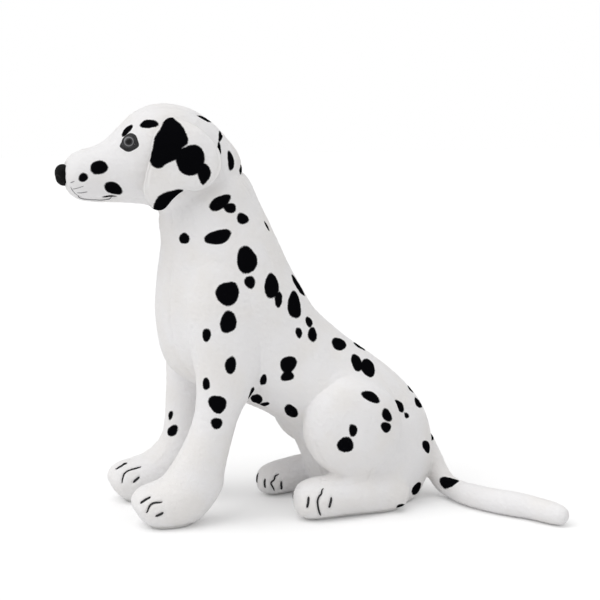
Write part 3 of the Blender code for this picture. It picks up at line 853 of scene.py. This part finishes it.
def detailed(points, quads, label, pairs, between):
    """Pulls in the seams and stitched lines, and adds the swells of the stuffing and the pile."""
    seam, sides = seam_edges(label, pairs, between)
    smooth = [{LABEL[name] for name in join} for join in SMOOTH_JOINS]
    sewn = np.array([set(side) not in smooth for side in sides.tolist()])
    seam_points = points[np.unique(seam[sewn])]
    seam_distance = nearest_distance(kd_tree(seam_points), points)
    normals = point_normals(points, quads)
    height = LUMP_HEIGHT * noise_field(points, LUMP_SIZE, seed=3)
    height += PILE_HEIGHT * noise_field(points, PILE_SIZE, seed=11)
    sewn_in = SEAM_DEPTH * (1 - BRIDGED_SEAM * bridged_share(points))
    height -= sewn_in * np.exp(-((seam_distance / SEAM_SPREAD) ** 2))
    surface = surface_of(points, quads)
    for line, depth, width in groove_lines():
        on_skin, _ = laid_on(surface, line)
        away = np.full(len(points), FAR_AWAY)
        near = np.linalg.norm(points - np.mean(on_skin, axis=0), axis=1) < GROOVE_REACH
        away[near] = nearest_distance(kd_tree(on_skin), points[near])
        height -= depth * np.exp(-((away / width) ** 2))
    moved = points + height[:, None] * normals
    moved[:, 2] = np.maximum(moved[:, 2], 0)
    return moved


# ---- Pieces ----

# Covers of different groups move apart at a joint, so the hems between them are deeper
GROUPS = [
    ("torso", "belly", "seat", "neck", "head", "crown", "chin"), ("tail",), ("foreleg_left",),
    ("foreleg_right",), ("thigh_left", "hind_foot_left"), ("thigh_right", "hind_foot_right"),
]
HEM_SHARES = (0.15, 0.45, 1.0)
NARROW_HEM = 3.5
DEEP_HEM = 9
HEM_INSET = 0.5
HEM_ROUNDS = 25
DEPTH_ROUNDS = 6
UNDERLAY_GAP = 4.5


def group_of(name):
    return next(group for group in GROUPS if name.startswith(group))


def smooth_mesh(name, points, faces, outward=False):
    thing = mesh_object(name, points, faces, outward)
    thing.data.polygons.foreach_set("use_smooth", np.ones(len(thing.data.polygons), bool))
    return thing


def fielded_mesh(name, points, faces, values, field="spot"):
    """A smooth mesh with one number at each point, which its material reads."""
    thing = smooth_mesh(name, points, faces)
    attribute = thing.data.attributes.new(field, "FLOAT", "POINT")
    attribute.data.foreach_set("value", np.asarray(values, np.float32))
    return thing


def mark_sharp(mesh, ends):
    """Marks the edges between the given pairs of vertices sharp."""
    count = len(mesh.vertices)
    every = np.empty(len(mesh.edges) * 2, np.int64)
    mesh.edges.foreach_get("vertices", every)
    every = np.sort(every.reshape(-1, 2), axis=1)
    wanted = np.sort(np.asarray(ends, np.int64).reshape(-1, 2), axis=1)
    sharp = np.isin(every[:, 0] * count + every[:, 1], wanted[:, 0] * count + wanted[:, 1])
    attribute = mesh.attributes.new("sharp_edge", "BOOLEAN", "EDGE")
    attribute.data.foreach_set("value", sharp)


def hem_depths(skin, index):
    """How far the hem of one cover turns in at each point of the skin."""
    depth = np.full(len(skin["points"]), NARROW_HEM)
    own = group_of(COVERS[index])
    sides = skin["label"][skin["pairs"]]
    touching = (sides == index).any(1) & (sides[:, 0] != sides[:, 1])
    for (one, other), edge in zip(sides[touching], skin["between"][touching]):
        if group_of(COVERS[other if one == index else one]) != own:
            depth[edge] = DEEP_HEM
    return depth


def hem_depth_evened(depth, border):
    """The depths eased from one kind of border into the next, without gaining any depth."""
    for _ in range(DEPTH_ROUNDS):
        mean = neighbour_mean(depth[:, None], border)[:, 0]
        depth = np.minimum(depth, (depth + mean) / 2)
    return depth


def open_border(faces):
    """The sides that only one face uses, in that face's direction."""
    directed = directed_edges(faces)
    key = np.sort(directed, axis=1)
    _, first, count = np.unique(key, axis=0, return_index=True, return_counts=True)
    return directed[first[count == 1]]


def cover_piece(name, skin):
    """One cover cut out of the skin, with hems turned in along its border."""
    index = LABEL[name]
    quads = skin["quads"][skin["label"] == index]
    used, inverse = np.unique(quads.ravel(), return_inverse=True)
    faces = inverse.reshape(-1, 4)
    points, spot = skin["points"][used], skin["spot"][used]
    border = open_border(faces)
    rim = np.unique(border)
    place = np.full(len(used), -1)
    place[rim] = np.arange(len(rim))
    around, normals = place[border], skin["normals"][used][rim]
    inward = neighbour_mean(points, edges_of(faces))[rim] - points[rim]
    inward = unit(inward - (inward * normals).sum(1)[:, None] * normals)
    inside = unit(relaxed(-normals, around, HEM_ROUNDS))
    deep = hem_depth_evened(hem_depths(skin, index)[used][rim], around)
    rings, every, upper = [points], [faces], border
    for ring, share in enumerate(HEM_SHARES):
        way = (1 - share) * -normals + share * inside
        down = way * (share * deep)[:, None]
        rings.append(points[rim] + down + inward * HEM_INSET * share)
        lower = len(used) + ring * len(rim) + around
        every.append(np.hstack([upper[:, ::-1], lower]))
        upper = lower
    whole = np.vstack(rings)
    whole[:, 2] = np.maximum(whole[:, 2], 0)
    spot = np.concatenate([spot] + [spot[rim]] * len(HEM_SHARES))
    thing = fielded_mesh(name, whole, np.vstack(every).tolist(), spot)
    mark_sharp(thing.data, border)
    return thing


# ---- Ears ----

EAR_MIDDLE = (-226, 393)
EAR_AROUND = 208
EAR_RINGS = 40
# How the rings crowd to the edge, and how far out the flap keeps its full thickness
EAR_CROWDING = 0.85
EAR_FULLNESS = 7
EAR_HALF = 3.1
EAR_RIM = 0.7
EAR_LUMP_HEIGHT = 0.5
EAR_SEAM_GAP = 0.1
EAR_TUCK = 0.985
# Roll along the sewn edge: its depth, and its place and width as shares of the radius
EAR_ROLL = (0.9, 0.93, 0.035)
# How far the ear hangs from the middle plane at each height
EAR_DRAPE = [(343, 53.6), (375, 52.6), (395, 51), (410, 48), (422, 43), (431, 36.5), (437, 31)]
# Black patches on the ear, as outlines in y and z
EAR_PATCHES = [
    [
        (-238, 438), (-229, 433), (-222, 422), (-220, 411), (-227, 404), (-233, 394), (-243, 389),
        (-250, 384), (-258, 386), (-261, 394), (-258, 405), (-255, 415), (-247, 427),
    ],
    [
        (-233, 401), (-224, 406), (-212, 408), (-204, 401), (-203, 390), (-208, 380), (-219, 376),
        (-229, 380), (-234, 391),
    ],
    [(-211, 386), (-204, 389), (-198, 384), (-197, 376), (-205, 366), (-210, 372)],
    [(-226, 361), (-238, 361), (-250, 357), (-257, 350), (-258, 338), (-248, 338), (-238, 346)],
]


def closed_curve(outline, count):
    """Evenly spaced points round a smooth closed curve through the outline."""
    rows = through_stations(outline[-2:] + outline + outline[:2], CURVE_STEPS)
    rows = rows[2 * CURVE_STEPS : -CURVE_STEPS]
    length = lengths_along(rows)
    return rows_at(np.arange(count) * length[-1] / count, length, rows)


def outline_distance(places, outline):
    """Signed distance of flat places from a closed outline, below 0 inside."""
    ring = closed_curve(outline, 90)
    after = np.roll(ring, -1, axis=0)
    side = after - ring
    off = places[:, None] - ring[None]
    share = np.clip((off * side).sum(2) / (side**2).sum(1), 0, 1)
    near = np.linalg.norm(off - share[:, :, None] * side, axis=2).min(1)
    above = (ring[None, :, 1] > places[:, None, 1]) != (after[None, :, 1] > places[:, None, 1])
    rise = np.where(side[:, 1] == 0, 1e-9, side[:, 1])
    cross = ring[:, 0] + (places[:, None, 1] - ring[:, 1]) * side[:, 0] / rise
    inside = (above & (places[:, None, 0] < cross)).sum(1) % 2 == 1
    return np.where(inside, -near, near)


def ear_face(side, outer):
    """One sewn half of the ear: a padded flap, its edge turned in."""
    ring = closed_curve(EAR, EAR_AROUND)
    middle = np.array(EAR_MIDDLE)
    shares = np.linspace(0, 1, EAR_RINGS + 1)[1:] ** EAR_CROWDING
    flat = np.vstack([middle] + [middle + (ring - middle) * share for share in shares])
    radius = np.concatenate([[0], np.repeat(shares, EAR_AROUND)])
    drape = looked_up(flat[:, 1], EAR_DRAPE)
    wave = 0.8 * np.sin(flat[:, 0] / 13) + 0.7 * np.sin(flat[:, 1] / 11 + 1)
    edge = np.sqrt(np.clip(1 - radius**EAR_FULLNESS, 0, 1))
    thick = EAR_RIM + (EAR_HALF - EAR_RIM) * edge
    depth, place, width = EAR_ROLL
    roll = -depth * np.exp(-(((radius - place) / width) ** 2)) if outer else 0
    facing = 1 if outer else -1
    x = drape + wave * (1 - radius**2) + facing * (thick + roll)
    points = np.stack([x, flat[:, 0], flat[:, 1]], axis=1)
    height = EAR_LUMP_HEIGHT * noise_field(points, LUMP_SIZE / 2, seed=5)
    height += PILE_HEIGHT * noise_field(points, PILE_SIZE, seed=8)
    points[:, 0] += facing * height * np.minimum(1, 8 * (1 - radius))
    turned = points[-EAR_AROUND:].copy()
    turned[:, 0] = drape[-EAR_AROUND:] + facing * EAR_SEAM_GAP
    turned[:, 1:] = middle + (turned[:, 1:] - middle) * EAR_TUCK
    points = np.vstack([points, turned])
    faces = [(0, 1 + i, 1 + (i + 1) % EAR_AROUND) for i in range(EAR_AROUND)]
    faces += [face[::-1] for face in bands(1, 1 + EAR_RINGS * EAR_AROUND, EAR_AROUND)]
    points[:, 0] *= side
    spot = np.full(len(points), FAR_AWAY)
    if outer:
        flat = points[:, 1:]
        spot = np.min([outline_distance(flat, patch) for patch in EAR_PATCHES], axis=0)
    return points, faces, spot


def ear_piece(side, word, outer):
    points, faces, spot = ear_face(side, outer)
    flipped = (side > 0) != outer
    faces = [face[::-1] for face in faces] if flipped else faces
    name = f"ear_{word}_outer_cover" if outer else f"ear_{word}_lining_cover"
    return fielded_mesh(name, points, faces, spot)


# ---- Eyes, nose and threads ----

EYE_PLACE = (33, -280, 411)
EYE_AXIS = (1, -0.25, 0.28)
EYE_PROFILE = [
    (7.6, -2.5), (7.9, -0.6), (7.7, 0.4), (7.1, 1.3), (6.2, 2.2), (5, 3), (3.6, 3.6), (2.2, 3.95),
    (1, 4.1), (0, 4.13),
]
RIM_OUTLINE = [
    (-0.6, 11), (5.9, 7.4), (9.2, 1.5), (11, -4), (7, -8), (0.8, -11), (-6, -9), (-11, -5),
    (-10, 1.5), (-7, 8),
]
EYE_LIFT = 0.4
RIM_AROUND = 96
RIM_SHARES = (0.55, 0.7, 0.85, 1.0)
RIM_ABOVE = 12
RIM_LIFT = 0.55
RIM_SINK = 0.4
DOME_STEPS = 5
# Toe, mouth and whisker threads: radius and height over the skin
TOE_THREAD = (1.0, 0.35)
MOUTH_THREAD = (0.5, 0.1)
WHISKER_THREAD = (0.34, 0.1)
THREAD_AROUND = 10
STRAIGHT_BOLD = 1.35
NOSE_PLACE = (0, -345, 375.2)
NOSE_AXIS = (0, -1, -0.12)
NOSE_TALL = 1.04
NOSE_FLARE = 0.022
# Nostril: distance beside the middle and below it, half width, half height and depth
NOSTRIL = (6.6, 1.0, 3.2, 2.2, 2.2)
CLEFT = 1.1
NOSE_PROFILE = [
    (9.8, -5), (10.8, -2.5), (11.2, 0.5), (10.9, 2.9), (9.9, 5.1), (8, 7.1), (5.4, 8.5),
    (2.6, 9.1), (0, 9.3),
]


def upright_frame(axis):
    """Columns: level, rising and outward directions for a piece that faces along the axis."""
    out = unit(np.array(axis, float))
    level, rise = surface_frame(out)
    return np.stack([level, rise, out], axis=1)


def dome(name, profile, place, axis, shape):
    """A turned cap; shape(points) bends its local points before it is set in place."""
    rows = through_stations(profile, DOME_STEPS)
    angle = angles(AROUND)
    points = np.array([(r * math.cos(a), r * math.sin(a), h) for r, h in rows[:-1] for a in angle])
    points = np.vstack([points, [(0, 0, rows[-1][1])]])
    top = (len(rows) - 2) * AROUND
    faces = bands(0, top, AROUND)
    for i in range(AROUND):
        faces.append((top + i, top + (i + 1) % AROUND, len(points) - 1))
    faces.append(tuple(range(AROUND))[::-1])
    radius = np.hypot(points[:, 0], points[:, 1])
    points = shape(points) @ upright_frame(axis).T + place
    return fielded_mesh(name, points, faces, radius, "radius")


def plain(points):
    return points


def nose_shape(points):
    """Wider at the top than below, with two nostrils pressed in."""
    x, y, h = points.T
    y = NOSE_TALL * y
    x = x * (1 + NOSE_FLARE * y)
    aside, below, wide, tall, depth = NOSTRIL
    for side, _ in SIDES:
        far = np.hypot((x - side * aside) / wide, (y + below) / tall)
        h = h - depth * np.exp(-(far**2))
    h = h - CLEFT * np.exp(-((x / CLEFT) ** 2)) * (y < 1)
    return np.stack([x, y, h], axis=1)


def eye_rim(name, place, axis, surface, side):
    """A flat printed felt shape on the skin round the eye."""
    ring = closed_curve(RIM_OUTLINE, RIM_AROUND)
    axes = upright_frame(axis)
    points = []
    for share in RIM_SHARES:
        for u, v in ring * share:
            start = np.array(place) + axes @ [side * u, v, RIM_ABOVE]
            hit = surface.ray_cast(Vector(start), Vector(-axes[:, 2]))[0]
            lift = axes[:, 2] * (RIM_LIFT if share < 1 else -RIM_SINK)
            points.append(np.array(hit) + lift)
    faces = bands(0, (len(RIM_SHARES) - 1) * RIM_AROUND, RIM_AROUND)
    if side > 0:
        faces = [face[::-1] for face in faces]
    return fielded_mesh(name, points, faces, np.full(len(points), FAR_AWAY))


def laid_on(surface, line):
    """The line smoothed on to the skin, and the skin's way out at each of its points."""
    path = line_through(line)
    for _ in range(6):
        path[1:-1] = (path[:-2] + 2 * path[1:-1] + path[2:]) / 4
        path = np.array([surface.find_nearest(Vector(place))[0] for place in path])
    out = np.array([surface.find_nearest(Vector(place))[1] for place in path])
    return path, out


def thread(name, lines, surface, radius, lift):
    """Short lengths of thread lying on the skin, as one piece."""
    points, faces = [], []
    angle = angles(THREAD_AROUND)[:, None]
    for line in lines:
        path, out = laid_on(surface, line)
        path = path + lift * out
        way = unit(np.gradient(path, axis=0))
        first = len(points) * THREAD_AROUND
        share = np.linspace(0, 1, len(path))
        bold = STRAIGHT_BOLD if len(line) == 2 else 1.0
        thick = bold * radius * np.sqrt(np.clip(1 - (2 * share - 1) ** 6, 0.05, 1))
        for place, up, forward, size in zip(path, out, way, thick):
            across = unit(np.cross(up, forward))
            over = np.cross(forward, across)
            points.append(place + size * (np.cos(angle) * across + np.sin(angle) * over))
        last = (len(points) - 1) * THREAD_AROUND
        faces += bands(first, last, THREAD_AROUND)
        faces.append(tuple(range(first, first + THREAD_AROUND))[::-1])
        faces.append(tuple(range(last, last + THREAD_AROUND)))
    return smooth_mesh(name, np.vstack(points), faces, outward=True)


# ---- Materials ----

WHITE_PILE = (0.87, 0.86, 0.865, 1)
WARM_PILE = (0.85, 0.83, 0.815, 1)
BLACK_PILE = (0.003, 0.003, 0.0038, 1)
PLUSH_SHEEN = 0.35
PLUSH_GLOSS = 0.12
FLOOR_GLOW = 0.16
RING_RADIUS = 4.6


class Nodes:
    """Short calls for wiring one node material."""

    def __init__(self, name):
        self.material = bpy.data.materials.new(name)
        self.material.use_nodes = True
        self.tree = self.material.node_tree
        self.tree.nodes.clear()

    def add(self, kind, settings=None, **inputs):
        node = self.tree.nodes.new("ShaderNode" + kind)
        for key, value in (settings or {}).items():
            setattr(node, key, value)
        for key, value in inputs.items():
            self.feed(node, key.replace("_", " "), value)
        return node

    def feed(self, node, key, value):
        socket = node.inputs[int(key)] if key.isdigit() else node.inputs[key]
        if isinstance(value, bpy.types.NodeSocket):
            self.tree.links.new(value, socket)
        else:
            socket.default_value = value

    def math(self, operation, one, other=0.0):
        node = self.add("Math", {"operation": operation})
        self.feed(node, "0", one)
        self.feed(node, "1", other)
        return node.outputs[0]

    def attribute(self, name):
        return self.add("Attribute", {"attribute_name": name}).outputs["Fac"]

    def noise(self, size, detail=2.0):
        """Noise with features of the given size in mm, fixed to the piece."""
        where = self.add("TexCoord").outputs["Object"]
        node = self.add("TexNoise", Vector=where, Scale=1 / (size * MM), Detail=detail)
        return node.outputs["Fac"]

    def ramp(self, value, low, high):
        """0 below low, 1 above high, smooth between."""
        node = self.add("MapRange", {"interpolation_type": "SMOOTHSTEP"}, Value=value)
        self.feed(node, "From Min", low)
        self.feed(node, "From Max", high)
        return node.outputs["Result"]

    def mix(self, share, one, other):
        node = self.add("Mix", {"data_type": "RGBA"})
        for index, value in ((0, share), (6, one), (7, other)):
            self.feed(node, str(index), value)
        return node.outputs[2]

    def mottle(self, size, detail, one, other):
        """A colour that drifts between two, in blotches of the given size."""
        return self.mix(self.noise(size, detail), one, other)

    def wave(self, size, detail, height):
        """Noise about 0 of the given height."""
        middle = self.math("SUBTRACT", self.noise(size, detail), 0.5)
        return self.math("MULTIPLY", middle, height)

    def relief(self, strength, depth, height):
        """A bump of the given depth in mm."""
        bump = self.add("Bump", Strength=strength, Distance=depth * MM, Height=height)
        return bump.outputs[0]

    def finish(self, **inputs):
        surface = self.add("BsdfPrincipled", **inputs)
        output = self.add("OutputMaterial")
        self.tree.links.new(surface.outputs[0], output.inputs["Surface"])
        return self.material


def plush_material(name, spotted=True):
    """Short plush pile: soft sheen, fine bump, and black printed spots with fuzzy edges."""
    nodes = Nodes(name)
    tone = nodes.mix(nodes.ramp(nodes.noise(45), 0.35, 0.7), WHITE_PILE, WARM_PILE)
    sheen, gloss = PLUSH_SHEEN, PLUSH_GLOSS
    if spotted:
        blur = nodes.math("ADD", nodes.wave(1.3, 3, 1.8), nodes.wave(11, 2, 2.6))
        away = nodes.ramp(nodes.math("ADD", nodes.attribute("spot"), blur), -0.8, 0.8)
        tone = nodes.mix(away, BLACK_PILE, tone)
        sheen = nodes.math("MULTIPLY", away, PLUSH_SHEEN)
        gloss = nodes.math("MULTIPLY", away, PLUSH_GLOSS)
    coarse = nodes.math("MULTIPLY", nodes.noise(3.2, 3), 0.6)
    fine = nodes.math("MULTIPLY", nodes.noise(0.9, 2), 0.5)
    return nodes.finish(
        Base_Color=tone,
        Roughness=0.92,
        Sheen_Weight=sheen,
        Sheen_Roughness=0.5,
        Normal=nodes.relief(0.9, 1.1, nodes.math("ADD", coarse, fine)),
        Specular_IOR_Level=gloss,
    )


def sole_material():
    """Flatter, slightly greyer woven backing under the feet and the seat."""
    nodes = Nodes("sole_plush")
    tone = nodes.mottle(6, 4, (0.72, 0.715, 0.7, 1), (0.82, 0.815, 0.8, 1))
    bump = nodes.relief(0.6, 0.5, nodes.noise(0.8, 2))
    return nodes.finish(Base_Color=tone, Roughness=0.95, Normal=bump)


def thread_material(name, tone):
    nodes = Nodes(name)
    darker = tuple(0.6 * value for value in tone[:3]) + (1,)
    bump = nodes.relief(0.7, 0.3, nodes.noise(0.5, 2))
    colour = nodes.mottle(1.2, 3, darker, tone)
    return nodes.finish(Base_Color=colour, Roughness=0.7, Normal=bump)


def eye_material():
    """Dark glass-like eye: black pupil, streaked grey iris, a thin light ring and a dark edge."""
    nodes = Nodes("eye_plastic")
    radius = nodes.attribute("radius")
    iris = nodes.mottle(1.1, 3, (0.015, 0.015, 0.017, 1), (0.06, 0.06, 0.064, 1))
    off_ring = nodes.math("ABSOLUTE", nodes.math("SUBTRACT", radius, RING_RADIUS))
    ring = nodes.math("SUBTRACT", 1.0, nodes.ramp(off_ring, 0.2, 0.75))
    tone = nodes.mix(nodes.math("MULTIPLY", ring, 0.55), iris, (0.32, 0.32, 0.33, 1))
    tone = nodes.mix(nodes.ramp(radius, 2.6, 3.2), (0.003, 0.003, 0.003, 1), tone)
    tone = nodes.mix(nodes.ramp(radius, 6.2, 7.0), tone, (0.008, 0.008, 0.009, 1))
    return nodes.finish(Base_Color=tone, Roughness=0.16, Specular_IOR_Level=0.35)


def nose_material():
    nodes = Nodes("nose_plastic")
    tone = nodes.mottle(3, 3, (0.001, 0.001, 0.001, 1), (0.004, 0.004, 0.004, 1))
    rough = nodes.ramp(nodes.noise(2, 2), -0.9, 1.4)
    bump = nodes.relief(0.3, 0.4, nodes.noise(1.1, 2))
    shine = {"Specular_IOR_Level": 0.12}
    return nodes.finish(Base_Color=tone, Roughness=rough, Normal=bump, **shine)


def washer_material():
    nodes = Nodes("washer_plastic")
    tone = nodes.mottle(4, 2, (0.75, 0.75, 0.73, 1), (0.82, 0.82, 0.8, 1))
    return nodes.finish(Base_Color=tone, Roughness=0.4)


def floor_material():
    """Matt pale floor with a faint glow, so that it meets the backdrop without a line."""
    nodes = Nodes("pale_floor")
    tone = nodes.mottle(300, 2, (0.86, 0.86, 0.86, 1), (0.87, 0.87, 0.87, 1))
    matt = nodes.add("BsdfDiffuse", Color=tone)
    seen = nodes.add("LightPath").outputs["Is Camera Ray"]
    glow = nodes.add("Emission", Strength=nodes.math("MULTIPLY", seen, FLOOR_GLOW))
    both = nodes.add("AddShader")
    nodes.tree.links.new(matt.outputs[0], both.inputs[0])
    nodes.tree.links.new(glow.outputs[0], both.inputs[1])
    output = nodes.add("OutputMaterial")
    nodes.tree.links.new(both.outputs[0], output.inputs["Surface"])
    return nodes.material


# ---- Making and dressing the pieces, some tied to the torso or the head ----


def bend(thing):
    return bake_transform(thing)


def follow(thing, name):
    """Ties torso, belly and seat covers to the torso; other pieces only get their transform baked."""
    if name.startswith(("torso", "belly", "seat")):
        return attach(thing, "torso")
    if name.startswith("neck"):
        return bend(thing)
    if name.startswith(("head", "crown", "chin")):
        return bend(thing)
    if name.startswith("tail_base"):
        return bend(thing)
    if name.startswith("tail_tip"):
        return bend(thing)
    if name.startswith("foreleg"):
        return bend(thing)
    return bend(thing)


def dress(thing, material):
    thing.data.materials.clear()
    thing.data.materials.append(material)
    return thing


def make_covers(materials):
    points, quads, label = make_skin()
    pairs, between = face_pairs(quads)
    points = detailed(points, quads, label, pairs, between)
    normals = point_normals(points, quads)
    surface = surface_of(points, quads)
    skin = {
        "points": points,
        "quads": quads,
        "label": label,
        "normals": normals,
        "pairs": pairs,
        "between": between,
        "spot": spot_field(points, normals, kd_tree(points), surface),
    }
    for name in COVERS:
        thing = cover_piece(name, skin)
        sole = "sole" in name or name == "seat_cover"
        plain_pile = name in ("belly_gusset_cover", "chin_cover")
        slot = "sole_plush" if sole else "plush" if plain_pile else "spotted_plush"
        dress(thing, materials[slot])
        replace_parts(thing, *STANDS_FOR[name])
        follow(thing, name)
    return surface


def below_neck(place):
    return (place - NECK_POINT) @ NECK_AXIS < NECK_BEND[0] - UNDERLAY_GAP


def underlay(name, loft, keep=None):
    """The cloth seen down an open joint: the body's own round shape, just inside the skin."""
    points, faces = loft_mesh(loft)
    whole = mesh_object("whole", points, faces, outward=True)
    normals = np.array([vertex.normal for vertex in whole.data.vertices])
    faces = [tuple(face.vertices) for face in whole.data.polygons]
    drop(whole)
    inner = points - UNDERLAY_GAP * normals
    inner[:, 2] = np.maximum(inner[:, 2], UNDERLAY_GAP)
    if keep:
        faces = [face for face in faces if keep(inner[list(face)].mean(0))]
    used, inverse = np.unique(np.concatenate(faces), return_inverse=True)
    ends = np.cumsum([len(face) for face in faces])[:-1]
    faces = [tuple(face) for face in np.split(inverse, ends)]
    return fielded_mesh(name, inner[used], faces, np.full(len(used), FAR_AWAY))


def make_underlays(materials):
    lofts = skin_lofts()
    trunk = underlay("torso_underlay", lofts["trunk"], below_neck)
    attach(dress(trunk, materials["plush"]), "torso")
    for name, loft in lofts.items():
        if name.startswith(("foreleg", "thigh", "hind_foot")):
            thing = underlay(f"{name}_underlay", loft)
            follow(dress(thing, materials["plush"]), name)


def make_ears(materials):
    for side, word in SIDES:
        for outer, panel in ((True, "outer"), (False, "lining")):
            thing = ear_piece(side, word, outer)
            slot = "spotted_plush" if outer else "plush"
            dress(thing, materials[slot])
            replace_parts(thing, f"ear_{word}_{panel}")
            bend(thing)


def make_face(materials, surface):
    for side, word in SIDES:
        place = np.array([side * EYE_PLACE[0], *EYE_PLACE[1:]])
        axis = np.array([side * EYE_AXIS[0], *EYE_AXIS[1:]], float)
        hit, out, _, _ = surface.find_nearest(Vector(place))
        middle = np.array(hit) + EYE_LIFT * np.array(out)
        eye = dome(f"eye_{word}_domed", EYE_PROFILE, middle, axis, plain)
        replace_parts(dress(eye, materials["eye_plastic"]), f"eye_{word}")
        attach(eye, "head")
        rim = eye_rim(f"eye_rim_{word}", hit, axis, surface, side)
        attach(dress(rim, materials["eye_rim"]), "head")
        lines = [to_side(line, side) for line in WHISKERS]
        hair = thread(f"whisker_stitches_{word}", lines, surface, *WHISKER_THREAD)
        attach(dress(hair, materials["grey_thread"]), "head")
    nose = dome("nose_moulded", NOSE_PROFILE, np.array(NOSE_PLACE), NOSE_AXIS, nose_shape)
    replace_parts(dress(nose, materials["nose_plastic"]), "nose")
    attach(nose, "head")
    lines = [to_side(MOUTH_LINE, side) for side, _ in SIDES]
    mouth = thread("mouth_stitches", lines, surface, *MOUTH_THREAD)
    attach(dress(mouth, materials["grey_thread"]), "head")


def make_toes(materials, surface):
    for name, lines in TOE_LINES.items():
        stitches = thread(f"toe_stitches_{name}", lines, surface, *TOE_THREAD)
        follow(dress(stitches, materials["black_thread"]), name)


# ---- Floor, light and camera ----

AIM = Vector((0, -0.085, 0.230))
VIEW_TURN = math.radians(75)
VIEW_RISE = math.radians(9)
VIEW_FAR = 1.743
LENS = 93.42
# Each lamp: the way it shines from, strength, and softness in degrees
LAMPS = [((0.3, -1.0, 1.5), 1.3, 60), ((0.2, 0.6, 1.5), 0.4, 80)]
SKY_LIGHT = 0.575
PALE = 1.0


def aimed(thing, place):
    thing.location = place
    thing.rotation_euler = (AIM - Vector(place)).to_track_quat("-Z", "Y").to_euler()
    bpy.context.scene.collection.objects.link(thing)


def make_floor():
    mesh = bpy.data.meshes.new("floor")
    reach = 6
    corners = [(-reach, -reach, 0), (reach, -reach, 0), (reach, reach, 0), (-reach, reach, 0)]
    mesh.from_pydata(corners, [], [(0, 1, 2, 3)])
    floor = bpy.data.objects.new("floor", mesh)
    floor.location.z = -0.4 * MM
    mesh.materials.append(floor_material())
    bpy.context.scene.collection.objects.link(floor)


def make_light():
    for index, (way, strength, softness) in enumerate(LAMPS):
        lamp = bpy.data.lights.new(f"lamp_{index}", "SUN")
        lamp.energy = strength
        lamp.angle = math.radians(softness)
        aimed(bpy.data.objects.new(lamp.name, lamp), AIM + 3 * Vector(way))
    world = bpy.data.worlds.new("studio")
    world.use_nodes = True
    tree = world.node_tree
    sky = tree.nodes["Background"]
    seen = tree.nodes.new("ShaderNodeLightPath").outputs["Is Camera Ray"]
    strength = tree.nodes.new("ShaderNodeMapRange")
    strength.inputs["To Min"].default_value = SKY_LIGHT
    strength.inputs["To Max"].default_value = PALE
    tree.links.new(seen, strength.inputs["Value"])
    tree.links.new(strength.outputs["Result"], sky.inputs["Strength"])
    sky.inputs["Color"].default_value = (1, 1, 1, 1)
    bpy.context.scene.world = world
    bpy.context.scene.view_settings.view_transform = "Standard"


def make_camera():
    lens = bpy.data.cameras.new("camera")
    lens.lens = LENS
    lens.sensor_width = 36
    camera = bpy.data.objects.new("camera", lens)
    flat, up = VIEW_FAR * math.cos(VIEW_RISE), VIEW_FAR * math.sin(VIEW_RISE)
    way = (flat * math.sin(VIEW_TURN), -flat * math.cos(VIEW_TURN), up)
    aimed(camera, AIM + Vector(way))
    bpy.context.scene.camera = camera


# ---- The whole scene ----


def main():
    materials = {
        "spotted_plush": plush_material("spotted_plush"),
        "plush": plush_material("plush", spotted=False),
        "sole_plush": sole_material(),
        "eye_plastic": eye_material(),
        "eye_rim": thread_material("eye_rim_felt", (0.012, 0.012, 0.014, 1)),
        "nose_plastic": nose_material(),
        "washer_plastic": washer_material(),
        "grey_thread": thread_material("grey_thread", (0.26, 0.26, 0.27, 1)),
        "black_thread": thread_material("black_thread", (0.015, 0.015, 0.017, 1)),
    }
    surface = make_covers(materials)
    make_underlays(materials)
    make_ears(materials)
    make_face(materials, surface)
    make_toes(materials, surface)
    for name in ("eye_washer_left", "eye_washer_right", "nose_washer"):
        dress(frame["nodes"][name], materials["washer_plastic"])
    make_floor()
    make_light()
    make_camera()


main()
bpy.context.view_layer.update()
